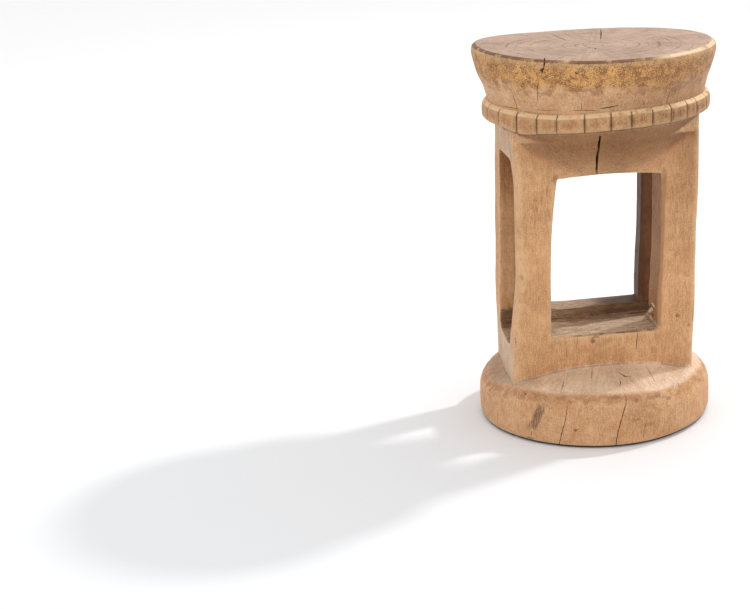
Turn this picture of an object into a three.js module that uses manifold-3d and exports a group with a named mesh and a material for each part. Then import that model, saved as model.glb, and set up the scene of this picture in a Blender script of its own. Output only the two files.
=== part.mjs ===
// A low round stool carved from one log, in millimetres, +Z up.
// The origin is on the floor, under the middle of the stool. The broad side of the shaft faces -Y.

import * as THREE from 'three';
import { mergeVertices } from 'three/addons/utils/BufferGeometryUtils.js';
import Module from 'manifold-3d';

// Driving dimensions of the log. Its round parts are a little shallower, front to back, than they are wide.
const SEAT_HEIGHT = 448.5;
const LOG_RADIUS = 139;
const LOG_FLATTENING = 0.96;
const CENTRE_SHIFT_X = -1.7;

// Seat, collar and the cone under them.
const SEAT_SHIFT_X = 2.4;
const COLLAR_SHIFT_X = 4.6;
const RIM_DISH = { left: 4, right: -1, front: -1.2, back: -5.2 };
const FLAT_SEAT_RADIUS = 46;
const NECK_RADIUS = 125;
const COLLAR_RADIUS = 131.5;
const COLLAR_BOTTOM = 367.5;
const COLLAR_TOP = 383;
const COLLAR_RISE = 2.2;
const COLLAR_SWAY = 2.2;
const COLLAR_DIP = 2.5;
const COLLAR_DIP_ANGLE = -36;
const COLLAR_DIP_SPREAD = 24;
const COLLAR_SAG = 4;
const COLLAR_SAG_ANGLE = -52;
const COLLAR_SAG_SPREAD = 11;
const CONE_FOOT = 316;
const CONE_FOOT_RADIUS = 68;
const CONE_FLATTENING = 0.55;
const CONE_FLAT_FROM = 80;
const CONE_FLAT_FULL = 112;

// Heights over which the collar's tilt fades in below it and out above it, and where the seat's dish begins.
const TILT_START = 335;
const TILT_FULL = 366;
const TILT_HOLD = 392;
const TILT_END = 430;
const DISH_START = 412;

// Collar blocks, parted by V grooves.
const BLOCK_COUNT = 31;
const FRONT_GROOVES = [-69.5, -56, -43.4, -32.6, -18.5, -5.2, 5.3, 16.8, 28.3, 39.8, 48.3];
const GROOVE_DEPTH = 4.6;
const GROOVE_WIDTH = 3.6;
const GROOVE_BELOW = 12;
const GROOVE_ABOVE = 7.5;

// Shaft. Its side faces are given as stations of [height, x], joined by smooth curves.
const SHAFT_DEPTH = 134;
const SHAFT_CORNER = 8;
const SHAFT_BOTTOM = 30;
const SHAFT_TOP = 380;
const LEFT_FRONT_EDGE = [[85, -111.5], [205, -101.5], [290, -101.5], [350, -107]];
const LEFT_BACK_EDGE = [[70, -106], [150, -107.8], [210, -106.5], [290, -104.9], [350, -103]];
const RIGHT_EDGE = [[80, 105.3], [150, 107.8], [210, 108.4], [300, 110.7]];

// Front window, seen from the front, and the side window that crosses it.
const LINTEL = 305.5;
const SILL = 118.3;
const SIDE_WINDOW_TOP = 323;
const SIDE_WINDOW_BOTTOM = 102;
const CHANNEL_BACK = 34;
const CHANNEL_FRONT_LEFT = -45;
const CHANNEL_FRONT_RIGHT = -25;
const RAIL_STEP_LEFT = 14;
const RAIL_STEP_RIGHT = 12;
const WINDOW_SPLAY = 6;

// Drying crack in the front of the lintel.
const CRACK_X = -10;
const CRACK_WIDTH = 2.8;
const CRACK_DEPTH = 46;

// Foot.
const FOOT_CROWN = 79.5;
const FOOT_FRONT_LIFT = 6.5;
const FOOT_CORNER_LIFT = 5;
const FOOT_RIGHT_DROP = 2;
const FOOT_RIGHT_ANGLE = 120;
const FOOT_RIGHT_SPREAD = 40;
const HOLLOW_DEPTH = 13;
const HOLLOW_ANGLE = -94;
const HOLLOW_SPREAD = 27;
const HOLLOW_INNER = [60, 95];
const HOLLOW_OUTER = [108, 134];
const HOLLOW_AT_WALL = 0.55;
const FOOT_WORN_INSET = 4;
const FOOT_WALL_TOP = 30;
const FOOT_SHOULDER = 56;
const FOOT_CORNER_RADIUS = 124;
const FOOT_CORNER_ANGLE = 57;

const ROUND_SEGMENTS = 3 * BLOCK_COUNT;

const wasm = await Module();
wasm.setup();

const { clamp, degToRad, lerp, smoothstep } = THREE.MathUtils;

// Turns a closed geometry into a solid that can be joined and cut.
function toSolid(geometry) {
  const bare = geometry.index ? geometry.clone() : geometry;
  bare.deleteAttribute('normal');
  bare.deleteAttribute('uv');
  const merged = mergeVertices(bare, 1e-4);
  return new wasm.Manifold(new wasm.Mesh({
    numProp: 3,
    vertProperties: new Float32Array(merged.attributes.position.array),
    triVerts: new Uint32Array(merged.index.array),
  }));
}

function toGeometry(solid) {
  const mesh = solid.getMesh();
  const geometry = new THREE.BufferGeometry();
  geometry.setAttribute('position', new THREE.BufferAttribute(new Float32Array(mesh.vertProperties), 3));
  geometry.setIndex(new THREE.BufferAttribute(new Uint32Array(mesh.triVerts), 1));
  geometry.computeVertexNormals();
  return geometry;
}

// Moves every point of a geometry by a rule that changes the point in place.
function reshape(geometry, rule) {
  const positions = geometry.attributes.position;
  const point = new THREE.Vector3();
  for (let i = 0; i < positions.count; i += 1) {
    point.fromBufferAttribute(positions, i);
    rule(point);
    positions.setXYZ(i, point.x, point.y, point.z);
  }
  return geometry;
}

// A turned solid about the Z axis, from a profile of [radius, height] pairs.
function turned(profile) {
  const points = profile.map(([radius, height]) => new THREE.Vector2(radius, height));
  return new THREE.LatheGeometry(points, ROUND_SEGMENTS).rotateX(Math.PI / 2);
}

// A bump of height 1 at the middle angle, in degrees from the front, that dies out over the spread.
function bump(angle, middle, spread) {
  const turn = THREE.MathUtils.euclideanModulo(angle - middle + 180, 360) - 180;
  return Math.exp(-((turn / spread) ** 2));
}

// A smooth curve through stations of [height, value], level beyond its ends.
function stationed(stations, height) {
  let value = stations[0][1];
  for (let i = 1; i < stations.length; i += 1) {
    const [low, from] = stations[i - 1];
    const [high, to] = stations[i];
    value = height > low ? lerp(from, to, smoothstep(height, low, high)) : value;
  }
  return value;
}

function angleFromFront(point) {
  return THREE.MathUtils.radToDeg(Math.atan2(point.x, -point.y));
}

// How far the collar runs above its mean height: it rises to the right and dips at the front left.
function collarRise(angle) {
  return COLLAR_RISE + COLLAR_SWAY * Math.sin(degToRad(angle))
    - COLLAR_DIP * bump(angle, COLLAR_DIP_ANGLE, COLLAR_DIP_SPREAD);
}

// Seat, collar and the cone that carries them, as one turned form that is then worn and tilted.
// Beside the shaft the cone is cut flatter, so there the seat's underside is nearly level.
function makeCrown() {
  const profile = [
    [0, CONE_FOOT - 3],
    [CONE_FOOT_RADIUS - 10, CONE_FOOT - 3],
    [CONE_FOOT_RADIUS, CONE_FOOT],
    [86, 329],
    [106, 346],
    [119, 358.5],
    [126, COLLAR_BOTTOM - 1],
    [COLLAR_RADIUS - 0.8, COLLAR_BOTTOM],
    [COLLAR_RADIUS, 377],
    [COLLAR_RADIUS - 0.6, COLLAR_TOP],
    [NECK_RADIUS, 387.7],
    [126.8, 395],
    [129.4, 405],
    [133.8, 417],
    [137.2, 428],
    [139.2, 436],
    [139.6, 441],
    [138.4, 445.6],
    [135.6, 447.9],
    [130.5, 448.4],
    [118, SEAT_HEIGHT],
    [90, SEAT_HEIGHT],
    [FLAT_SEAT_RADIUS, SEAT_HEIGHT],
    [0, SEAT_HEIGHT],
  ];
  return reshape(turned(profile), (point) => {
    const angle = angleFromFront(point);
    const radius = Math.hypot(point.x, point.y);
    const along = point.x / LOG_RADIUS;
    const across = point.y / LOG_RADIUS;
    const onCrown = smoothstep(point.z, TILT_START, TILT_FULL);
    const collar = onCrown * (1 - smoothstep(point.z, TILT_HOLD, TILT_END));
    const outwards = smoothstep(radius, FLAT_SEAT_RADIUS, LOG_RADIUS - 5);
    const top = outwards * smoothstep(point.z, DISH_START, SEAT_HEIGHT - 8);
    const lengthwise = along < 0 ? -along * RIM_DISH.left : along * RIM_DISH.right;
    const crosswise = across < 0 ? -across * RIM_DISH.front : across * RIM_DISH.back;
    const lowerHalf = 1 - smoothstep(point.z, COLLAR_BOTTOM + 3, COLLAR_TOP);
    const sag = lowerHalf * COLLAR_SAG * bump(angle, COLLAR_SAG_ANGLE, COLLAR_SAG_SPREAD);
    const shift = lerp(SEAT_SHIFT_X, COLLAR_SHIFT_X, collar) * onCrown;
    const flatter = CONE_FLATTENING * smoothstep(Math.abs(point.x), CONE_FLAT_FROM, CONE_FLAT_FULL);
    point.z += flatter * Math.max(0, COLLAR_BOTTOM - 1 - point.z);
    point.z += collar * (collarRise(angle) - sag);
    point.z += top * (lengthwise * Math.abs(along) + crosswise * Math.abs(across));
    point.x += shift;
    point.y *= LOG_FLATTENING;
  });
}

// The round foot: an upright wall, a worn shoulder and a low crown that rises to the shaft.
// The crown is scooped out beside the shaft on the left.
function makeFoot() {
  const profile = [
    [0, 0],
    [133, 0],
    [137, 3],
    [138.6, 12],
    [138.6, 26],
    [138.2, 39],
    [136.9, 46.5],
    [133.8, 52.6],
    [128.5, 57.8],
    [120, 63.4],
    [108, 69.5],
    [92, 74.5],
    [68, 78.3],
    [0, FOOT_CROWN],
  ];
  return reshape(turned(profile), (point) => {
    const angle = angleFromFront(point);
    const radius = Math.hypot(point.x, point.y);
    const raised = smoothstep(point.z, FOOT_WALL_TOP, FOOT_SHOULDER);
    const shoulder = smoothstep(radius, 96, 131) * raised;
    const corners = bump(angle, -FOOT_CORNER_ANGLE, 13) + bump(angle, FOOT_CORNER_ANGLE, 13);
    const wornEdge = (1 - smoothstep(point.z, 1, 14)) * smoothstep(radius, 100, 134);
    const inset = FOOT_WORN_INSET * wornEdge * bump(angle, 42, 22);
    const drop = FOOT_RIGHT_DROP * bump(angle, FOOT_RIGHT_ANGLE, FOOT_RIGHT_SPREAD);
    const lift = FOOT_FRONT_LIFT * bump(angle, -12, 34) - drop;
    const scooped = smoothstep(radius, ...HOLLOW_INNER) * raised;
    const shallower = lerp(1, HOLLOW_AT_WALL, smoothstep(radius, ...HOLLOW_OUTER));
    const hollow = HOLLOW_DEPTH * scooped * shallower * bump(angle, HOLLOW_ANGLE, HOLLOW_SPREAD);
    const gusset = Math.exp(-(((radius - FOOT_CORNER_RADIUS) / 9) ** 2)) * raised;
    point.z += shoulder * lift + gusset * FOOT_CORNER_LIFT * corners - hollow;
    point.x *= 1 - inset / LOG_RADIUS;
    point.y *= (1 - inset / LOG_RADIUS) * LOG_FLATTENING;
  });
}

// The left face of the shaft at a height, at the front edge (0), at the back edge (1) or between them.
function leftFace(height, depth) {
  return lerp(stationed(LEFT_FRONT_EDGE, height), stationed(LEFT_BACK_EDGE, height), depth);
}

function makeShaft() {
  const outline = new THREE.Shape();
  const half = SHAFT_DEPTH / 2;
  const inner = half - SHAFT_CORNER;
  outline.absarc(inner, inner, SHAFT_CORNER, 0, Math.PI / 2);
  outline.absarc(-inner, inner, SHAFT_CORNER, Math.PI / 2, Math.PI);
  outline.absarc(-inner, -inner, SHAFT_CORNER, Math.PI, Math.PI * 1.5);
  outline.absarc(inner, -inner, SHAFT_CORNER, Math.PI * 1.5, Math.PI * 2);
  const options = { depth: SHAFT_TOP - SHAFT_BOTTOM, steps: 14, curveSegments: 3, bevelEnabled: false };
  const geometry = new THREE.ExtrudeGeometry(outline, options).translate(0, 0, SHAFT_BOTTOM);
  return reshape(geometry, (point) => {
    const depth = (point.y + half) / SHAFT_DEPTH;
    point.x += point.x < 0 ? leftFace(point.z, depth) + half : stationed(RIGHT_EDGE, point.z) - half;
  });
}

// The window that runs from front to back. It splays to the right behind the middle of the shaft.
function makeFrontWindow() {
  const outline = new THREE.Shape();
  outline.moveTo(-64, SILL);
  outline.lineTo(-19, SILL - 1.2);
  outline.lineTo(61, SILL);
  outline.quadraticCurveTo(60, 150, 63.5, 200);
  outline.quadraticCurveTo(65.5, 260, 64.5, LINTEL - 2.3);
  outline.quadraticCurveTo(20, LINTEL + 2.6, -20, LINTEL + 0.8);
  outline.lineTo(-54.5, LINTEL - 1);
  outline.quadraticCurveTo(-62, 255, -63, 200);
  const options = { depth: SHAFT_DEPTH + 120, steps: 6, curveSegments: 4, bevelEnabled: false };
  const geometry = new THREE.ExtrudeGeometry(outline, options);
  geometry.rotateX(Math.PI / 2).translate(0, SHAFT_DEPTH / 2 + 60, 0);
  return reshape(geometry, (point) => {
    point.x += WINDOW_SPLAY * smoothstep(point.y, 0, SHAFT_DEPTH / 2) * clamp(point.x / 60, 0, 1);
  });
}

// The window that runs from side to side. Its front wall is thicker towards the right,
// and below the sill it is thicker still, where the channel was not cut to its full width.
function makeSideWindow() {
  const length = LOG_RADIUS * 2 + 40;
  const outline = new THREE.Shape();
  outline.moveTo(0, SIDE_WINDOW_BOTTOM + 6);
  outline.quadraticCurveTo(0.05, SIDE_WINDOW_BOTTOM, 0.3, SIDE_WINDOW_BOTTOM);
  outline.lineTo(0.75, SIDE_WINDOW_BOTTOM);
  outline.quadraticCurveTo(0.95, SIDE_WINDOW_BOTTOM, 1, SIDE_WINDOW_BOTTOM + 5);
  outline.lineTo(1, SIDE_WINDOW_TOP - 6);
  outline.quadraticCurveTo(0.97, SIDE_WINDOW_TOP, 0.85, SIDE_WINDOW_TOP);
  outline.lineTo(0.15, SIDE_WINDOW_TOP + 2);
  outline.quadraticCurveTo(0.03, SIDE_WINDOW_TOP + 2, 0, SIDE_WINDOW_TOP - 4);
  outline.lineTo(0, SILL + 11);
  outline.lineTo(0, SILL + 1);
  const options = { depth: length, steps: 6, curveSegments: 3, bevelEnabled: false };
  const geometry = new THREE.ExtrudeGeometry(outline, options);
  return reshape(geometry, (point) => {
    const along = point.z / length;
    const turn = smoothstep(along, 0.3, 0.75);
    const height = point.y;
    const lowPart = 1 - smoothstep(height, SILL, SILL + 11);
    const wall = lerp(CHANNEL_FRONT_LEFT, CHANNEL_FRONT_RIGHT, turn);
    const inside = smoothstep(along, 0.12, 0.22);
    const front = wall + lowPart * inside * lerp(RAIL_STEP_LEFT, RAIL_STEP_RIGHT, turn);
    point.y = lerp(front, CHANNEL_BACK, point.x);
    point.x = along * length - length / 2;
    point.z = height;
  });
}

// Angles of all grooves, in degrees from the front: the measured ones, then an even, slightly uneven run.
function grooveAngles() {
  const first = FRONT_GROOVES[0];
  const last = FRONT_GROOVES[FRONT_GROOVES.length - 1];
  const rest = BLOCK_COUNT - FRONT_GROOVES.length;
  const pitch = (360 - (last - first)) / (rest + 1);
  const angles = [...FRONT_GROOVES];
  for (let i = 1; i <= rest; i += 1) {
    angles.push(last + i * pitch + 1.3 * Math.sin(i * 2.4));
  }
  return angles;
}

// One V groove, cut straight down the outside of the collar and no further than its edges.
function makeGroove(angle, number) {
  const outline = new THREE.Shape();
  const mouth = GROOVE_WIDTH * (1 + 0.25 * Math.sin(number * 1.7));
  outline.moveTo(-mouth, 4);
  outline.lineTo(0, -GROOVE_DEPTH);
  outline.lineTo(mouth, 4);
  const turn = degToRad(angle);
  const across = 1 / Math.hypot(Math.sin(turn), Math.cos(turn) / LOG_FLATTENING);
  const radius = COLLAR_RADIUS * across;
  const height = COLLAR_TOP - COLLAR_BOTTOM + GROOVE_BELOW + GROOVE_ABOVE;
  const bottom = COLLAR_BOTTOM - GROOVE_BELOW + collarRise(angle);
  const geometry = new THREE.ExtrudeGeometry(outline, { depth: height, bevelEnabled: false });
  return geometry
    .translate(0, radius, bottom)
    .rotateZ(Math.PI + turn)
    .translate(COLLAR_SHIFT_X, 0, 0);
}

// The crack runs in from the front of the lintel towards the heart of the log.
function makeCrack() {
  const outline = new THREE.Shape();
  outline.moveTo(-CRACK_WIDTH / 2, -70);
  outline.lineTo(CRACK_WIDTH / 2, -70);
  outline.lineTo(CRACK_WIDTH / 2, 0);
  outline.lineTo(0, CRACK_DEPTH);
  outline.lineTo(-CRACK_WIDTH / 2, 0);
  const height = COLLAR_BOTTOM - 3 - LINTEL + 12;
  const geometry = new THREE.ExtrudeGeometry(outline, { depth: height, bevelEnabled: false });
  const inwards = Math.atan2(-CRACK_X, SHAFT_DEPTH / 2);
  return geometry.rotateZ(-inwards).translate(CRACK_X, -SHAFT_DEPTH / 2, LINTEL - 12);
}

function makeStool() {
  let solid = toSolid(makeCrown());
  for (const [number, angle] of grooveAngles().entries()) {
    solid = solid.subtract(toSolid(makeGroove(angle, number)));
  }
  solid = solid.add(toSolid(makeShaft())).add(toSolid(makeFoot()));
  solid = solid.subtract(toSolid(makeFrontWindow()));
  solid = solid.subtract(toSolid(makeSideWindow()));
  solid = solid.subtract(toSolid(makeCrack()));
  const material = new THREE.MeshStandardMaterial({ color: 0xb98a5c, roughness: 0.72, metalness: 0 });
  const stool = new THREE.Mesh(toGeometry(solid), material);
  stool.name = 'stool';
  stool.position.x = CENTRE_SHIFT_X;
  return stool;
}

const carvedStool = new THREE.Group();
carvedStool.add(makeStool());

export default carvedStool;
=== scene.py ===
"""A low round stool carved from one log: its fine surface, its wood, and a pale stage for it."""

import math

import bmesh
import bpy
import numpy as np
from bpy.props import BoolProperty, FloatProperty, FloatVectorProperty, IntProperty, PointerProperty
from mathutils import Matrix, Vector
from mathutils.bvhtree import BVHTree


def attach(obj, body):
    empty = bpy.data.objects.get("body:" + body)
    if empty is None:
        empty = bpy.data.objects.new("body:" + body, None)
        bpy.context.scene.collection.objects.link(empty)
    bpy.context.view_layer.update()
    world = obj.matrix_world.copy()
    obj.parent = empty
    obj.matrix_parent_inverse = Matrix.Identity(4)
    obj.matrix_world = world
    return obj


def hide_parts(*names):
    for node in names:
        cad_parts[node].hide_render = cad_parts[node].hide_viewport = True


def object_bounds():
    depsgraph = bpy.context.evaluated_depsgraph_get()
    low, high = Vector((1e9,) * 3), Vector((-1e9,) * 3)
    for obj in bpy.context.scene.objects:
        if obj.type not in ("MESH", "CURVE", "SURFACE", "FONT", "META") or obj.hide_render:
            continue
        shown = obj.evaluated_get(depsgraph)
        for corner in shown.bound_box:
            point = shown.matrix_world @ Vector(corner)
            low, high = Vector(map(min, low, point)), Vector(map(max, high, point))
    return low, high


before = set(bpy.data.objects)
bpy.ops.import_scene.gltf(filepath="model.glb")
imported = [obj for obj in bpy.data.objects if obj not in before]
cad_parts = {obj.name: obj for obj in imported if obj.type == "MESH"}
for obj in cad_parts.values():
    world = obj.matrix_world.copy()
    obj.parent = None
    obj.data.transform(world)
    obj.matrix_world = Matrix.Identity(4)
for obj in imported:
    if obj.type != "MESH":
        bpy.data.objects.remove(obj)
CAD_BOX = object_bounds()

bl_info = {
    "name": "Carved log stool",
    "version": (1, 0, 0),
    "blender": (4, 5, 0),
    "location": "View3D > Sidebar > Stool",
    "description": "Builds a carved wooden stool around its packed solid, and a stage for it",
    "category": "Object",
}

MM = 0.001

# Driving dimensions in millimetres, as in the solid. Z is up and the broad front of the shaft faces -Y.
SEAT_HEIGHT = 448.5
LOG_RADIUS = 139
LOG_FLATTENING = 0.96
CENTRE_SHIFT_X = -1.7
SEAT_SHIFT_X = 2.4
COLLAR_SHIFT_X = 4.6
RIM_DISH_LEFT = 4
RIM_DISH_RIGHT = -1
RIM_DISH_FRONT = -1.2
RIM_DISH_BACK = -5.2
FLAT_SEAT_RADIUS = 46
COLLAR_RADIUS = 131.5
COLLAR_BOTTOM = 367.5
COLLAR_TOP = 383
COLLAR_RISE = 2.2
COLLAR_SWAY = 2.2
COLLAR_DIP = 2.5
COLLAR_DIP_ANGLE = -36
COLLAR_DIP_SPREAD = 24
COLLAR_SAG = 4
COLLAR_SAG_ANGLE = -52
COLLAR_SAG_SPREAD = 11
CONE_FLATTENING = 0.55
CONE_FLAT_FROM = 80
CONE_FLAT_FULL = 112
TILT_START = 335
TILT_FULL = 366
TILT_HOLD = 392
TILT_END = 430
DISH_START = 412

BLOCK_COUNT = 31
FRONT_GROOVES = (-69.5, -56, -43.4, -32.6, -18.5, -5.2, 5.3, 16.8, 28.3, 39.8, 48.3)
GROOVE_DEPTH = 4.6
GROOVE_WIDTH = 3.6
GROOVE_TIP = 0.8
GROOVE_BELOW = 12
GROOVE_ABOVE = 7.5

SHAFT_HALF = 67
SHAFT_CORNER = 8
SHAFT_BOTTOM = 30
SHAFT_TOP = 380
LEFT_FRONT_EDGE = ((85, -111.5), (205, -101.5), (290, -101.5), (350, -107))
LEFT_BACK_EDGE = ((70, -106), (150, -107.8), (210, -106.5), (290, -104.9), (350, -103))
RIGHT_EDGE = ((80, 105.3), (150, 107.8), (210, 108.4), (300, 110.7))
LINTEL = 305.5
SILL = 118.3
SIDE_WINDOW_TOP = 323
SIDE_WINDOW_BOTTOM = 102
CHANNEL_BACK = 34
CHANNEL_FRONT_LEFT = -45
CHANNEL_FRONT_RIGHT = -25
RAIL_STEP_LEFT = 14
RAIL_STEP_RIGHT = 12
WINDOW_SPLAY = 6

FOOT_CROWN = 79.5
FOOT_FRONT_LIFT = 6.5
FOOT_CORNER_LIFT = 5
FOOT_RIGHT_DROP = 2
FOOT_RIGHT_ANGLE = 120
FOOT_RIGHT_SPREAD = 40
HOLLOW_DEPTH = 13
HOLLOW_ANGLE = -94
HOLLOW_SPREAD = 27
HOLLOW_INNER = (60, 95)
HOLLOW_OUTER = (108, 134)
HOLLOW_AT_WALL = 0.55
FOOT_WORN_INSET = 4
FOOT_WALL_TOP = 30
FOOT_SHOULDER = 56
FOOT_CORNER_RADIUS = 124
FOOT_CORNER_ANGLE = 57

# Where the worn edges lie on the unworn section: the seat's rim by its radius, the others by their height.
SEAT_CREASE = 135
SEAT_EDGE = 447.9
NECK = 388
FOOT_CREASE = 57.3

CRACK_GROUPS = 3

# Shallow hollows in the surface: centre, reach along each axis, depth. Both belong to the chip in the rim.
DENTS = (
    ((-82.1, -106.6, 441.5), (5, 5, 6.2), 1.7),
    ((-79.6, -107.4, 436.6), (1.7, 3, 2.6), 2.6),
)


def smoothstep(value, low, high):
    t = np.clip((value - low) / (high - low), 0, 1)
    return t * t * (3 - 2 * t)


def lerp(a, b, t):
    return a + (b - a) * t


def bump(angle, middle, spread):
    """1 at the middle angle, in degrees from the front, dying out over the spread."""
    turn = (angle - middle + 180) % 360 - 180
    return np.exp(-((turn / spread) ** 2))


def stationed(stations, height):
    """A smooth curve through stations of (height, value), level beyond its ends."""
    value = np.full_like(height, stations[0][1])
    for (low, start), (high, end) in zip(stations, stations[1:]):
        value = np.where(height > low, lerp(start, end, smoothstep(height, low, high)), value)
    return value


def angle_from_front(x, y):
    return np.degrees(np.arctan2(x, -y))


def smooth_max(a, b, k):
    """The larger of two distances, with the crease between them rounded over k."""
    h = np.maximum(k - np.abs(a - b), 0) / k
    return np.maximum(a, b) + h * h * k / 4


def smooth_min(a, b, k):
    return -smooth_max(-a, -b, k)


def rounded_path(points, spacing, corners=()):
    """A smooth curve through points, sampled at the spacing, that keeps the numbered corners sharp."""
    points = [np.array(p, float) for p in points]
    out = []
    last = len(points) - 1
    for i in range(last):
        start, end = points[i], points[i + 1]
        before = start if i == 0 or i in corners else points[i - 1]
        after = end if i + 1 == last or i + 1 in corners else points[i + 2]
        length = np.linalg.norm(end - start)
        leave = (end - before) * length / max(np.linalg.norm(end - before), 1e-9)
        arrive = (after - start) * length / max(np.linalg.norm(after - start), 1e-9)
        for t in np.arange(0, 1, min(1, spacing / max(length, 1e-9))):
            a = 2 * t**3 - 3 * t**2 + 1
            b = t**3 - 2 * t**2 + t
            c = -2 * t**3 + 3 * t**2
            d = t**3 - t**2
            out.append(a * start + b * leave + c * end + d * arrive)
    out.append(points[last])
    return np.array(out)


class Outline:
    """The signed distance to a closed flat outline, kept on a fine raster and read back smoothly."""

    def __init__(self, points, step=0.5, margin=14, soften=0):
        points = np.asarray(points, float)
        self.low = points.min(0) - margin
        self.step = step
        count = np.ceil((points.max(0) + margin - self.low) / step).astype(int) + 1
        u = self.low[0] + np.arange(count[0]) * step
        v = self.low[1] + np.arange(count[1]) * step
        U, V = np.meshgrid(u, v, indexing="ij")
        nearest = np.full(U.shape, 1e9)
        inside = np.zeros(U.shape, bool)
        for a, b in zip(points, np.roll(points, -1, 0)):
            edge = b - a
            length2 = max(edge @ edge, 1e-12)
            t = np.clip(((U - a[0]) * edge[0] + (V - a[1]) * edge[1]) / length2, 0, 1)
            away = (U - a[0] - t * edge[0]) ** 2 + (V - a[1] - t * edge[1]) ** 2
            nearest = np.minimum(nearest, away)
            if a[1] != b[1]:
                crosses = (a[1] > V) != (b[1] > V)
                inside ^= crosses & (U < a[0] + (V - a[1]) * edge[0] / edge[1])
        field = np.sqrt(nearest) * np.where(inside, -1, 1)
        for _ in range(soften):
            field = blurred(field)
        self.field = field.astype(np.float32)

    def at(self, u, v):
        """The distance at points (u, v). Beyond the raster it grows with the way back to it."""
        limit = np.array(self.field.shape) - 1.001
        i = (u - self.low[0]) / self.step
        j = (v - self.low[1]) / self.step
        ci = np.clip(i, 0, limit[0])
        cj = np.clip(j, 0, limit[1])
        beyond = np.hypot(i - ci, j - cj) * self.step
        i0 = ci.astype(np.int32)
        j0 = cj.astype(np.int32)
        fi = (ci - i0).astype(np.float32)
        fj = (cj - j0).astype(np.float32)
        f = self.field
        low = f[i0, j0] * (1 - fi) + f[i0 + 1, j0] * fi
        high = f[i0, j0 + 1] * (1 - fi) + f[i0 + 1, j0 + 1] * fi
        return low * (1 - fj) + high * fj + beyond


def blurred(field):
    """One light three-point blur along every axis."""
    for axis in range(field.ndim):
        pad = [(1, 1) if a == axis else (0, 0) for a in range(field.ndim)]
        wide = np.pad(field, pad, mode="edge")
        count = field.shape[axis]
        parts = [np.take(wide, np.arange(count) + k, axis=axis) for k in range(3)]
        field = parts[0] * 0.25 + parts[1] * 0.5 + parts[2] * 0.25
    return field


def crown_outline():
    """Half section of the cone, collar and seat, as (radius, height)."""
    cone = rounded_path(
        [(58, 313), (68, 316), (86, 329), (106, 346), (119, 358.5), (126, COLLAR_BOTTOM - 1)],
        1.5,
        corners=(0,),
    )
    collar = rounded_path([(130.4, 367.1), (131.3, 369.5), (131.5, 377), (130.9, 381.8), (130, 383.8)], 0.7)
    bevel = rounded_path([(130, 383.8), (127.5, 386.3), (125, 387.9)], 0.7)
    side = rounded_path(
        [
            (125, 387.9), (126.8, 395), (129.4, 405), (133.8, 417), (137.2, 428), (139.2, 436),
            (139.6, 441), (138.4, 445.6), (135.6, 447.9), (130.5, 448.4), (118, SEAT_HEIGHT), (90, SEAT_HEIGHT),
        ],
        1.2,
    )
    return np.vstack([[(-10, 313)], cone, collar, bevel[1:], side[1:], [(-10, SEAT_HEIGHT)]])


def foot_outline():
    wall = rounded_path(
        [
            (133, 0), (137, 3), (138.6, 12), (138.6, 26), (138.2, 39), (136.9, 46.5), (133.8, 52.6),
            (128.5, 57.8), (120, 63.4), (108, 69.5), (92, 74.5), (68, 78.3), (0, FOOT_CROWN),
        ],
        1.5,
        corners=(0,),
    )
    return np.vstack([[(-10, 0)], wall, [(-10, FOOT_CROWN)]])


def collar_rise(angle):
    dip = COLLAR_DIP * bump(angle, COLLAR_DIP_ANGLE, COLLAR_DIP_SPREAD)
    return COLLAR_RISE + COLLAR_SWAY * np.sin(np.radians(angle)) - dip


def crown_coordinates(x, y, z):
    """Radius, height and angle on the upright section that the worn and tilted crown comes from."""
    y0 = y / LOG_FLATTENING
    z0 = z
    for _ in range(2):
        on_crown = smoothstep(z0, TILT_START, TILT_FULL)
        collar = on_crown * (1 - smoothstep(z0, TILT_HOLD, TILT_END))
        x0 = x - lerp(SEAT_SHIFT_X, COLLAR_SHIFT_X, collar) * on_crown
        radius = np.hypot(x0, y0)
        angle = angle_from_front(x0, y0)
        along = x0 / LOG_RADIUS
        across = y0 / LOG_RADIUS
        outwards = smoothstep(radius, FLAT_SEAT_RADIUS, LOG_RADIUS - 5)
        top = outwards * smoothstep(z0, DISH_START, SEAT_HEIGHT - 8)
        dish = np.where(along < 0, RIM_DISH_LEFT, RIM_DISH_RIGHT) * along**2
        dish = dish + np.where(across < 0, RIM_DISH_FRONT, RIM_DISH_BACK) * across**2
        lower_half = 1 - smoothstep(z0, COLLAR_BOTTOM + 3, COLLAR_TOP)
        sag = lower_half * COLLAR_SAG * bump(angle, COLLAR_SAG_ANGLE, COLLAR_SAG_SPREAD)
        level = z - collar * (collar_rise(angle) - sag) - top * dish
        flatter = CONE_FLATTENING * smoothstep(np.abs(x0), CONE_FLAT_FROM, CONE_FLAT_FULL)
        below = np.maximum(COLLAR_BOTTOM - 1 - level, 0)
        z0 = level - below * flatter / (1 - flatter)
    return radius, z0, angle


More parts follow.
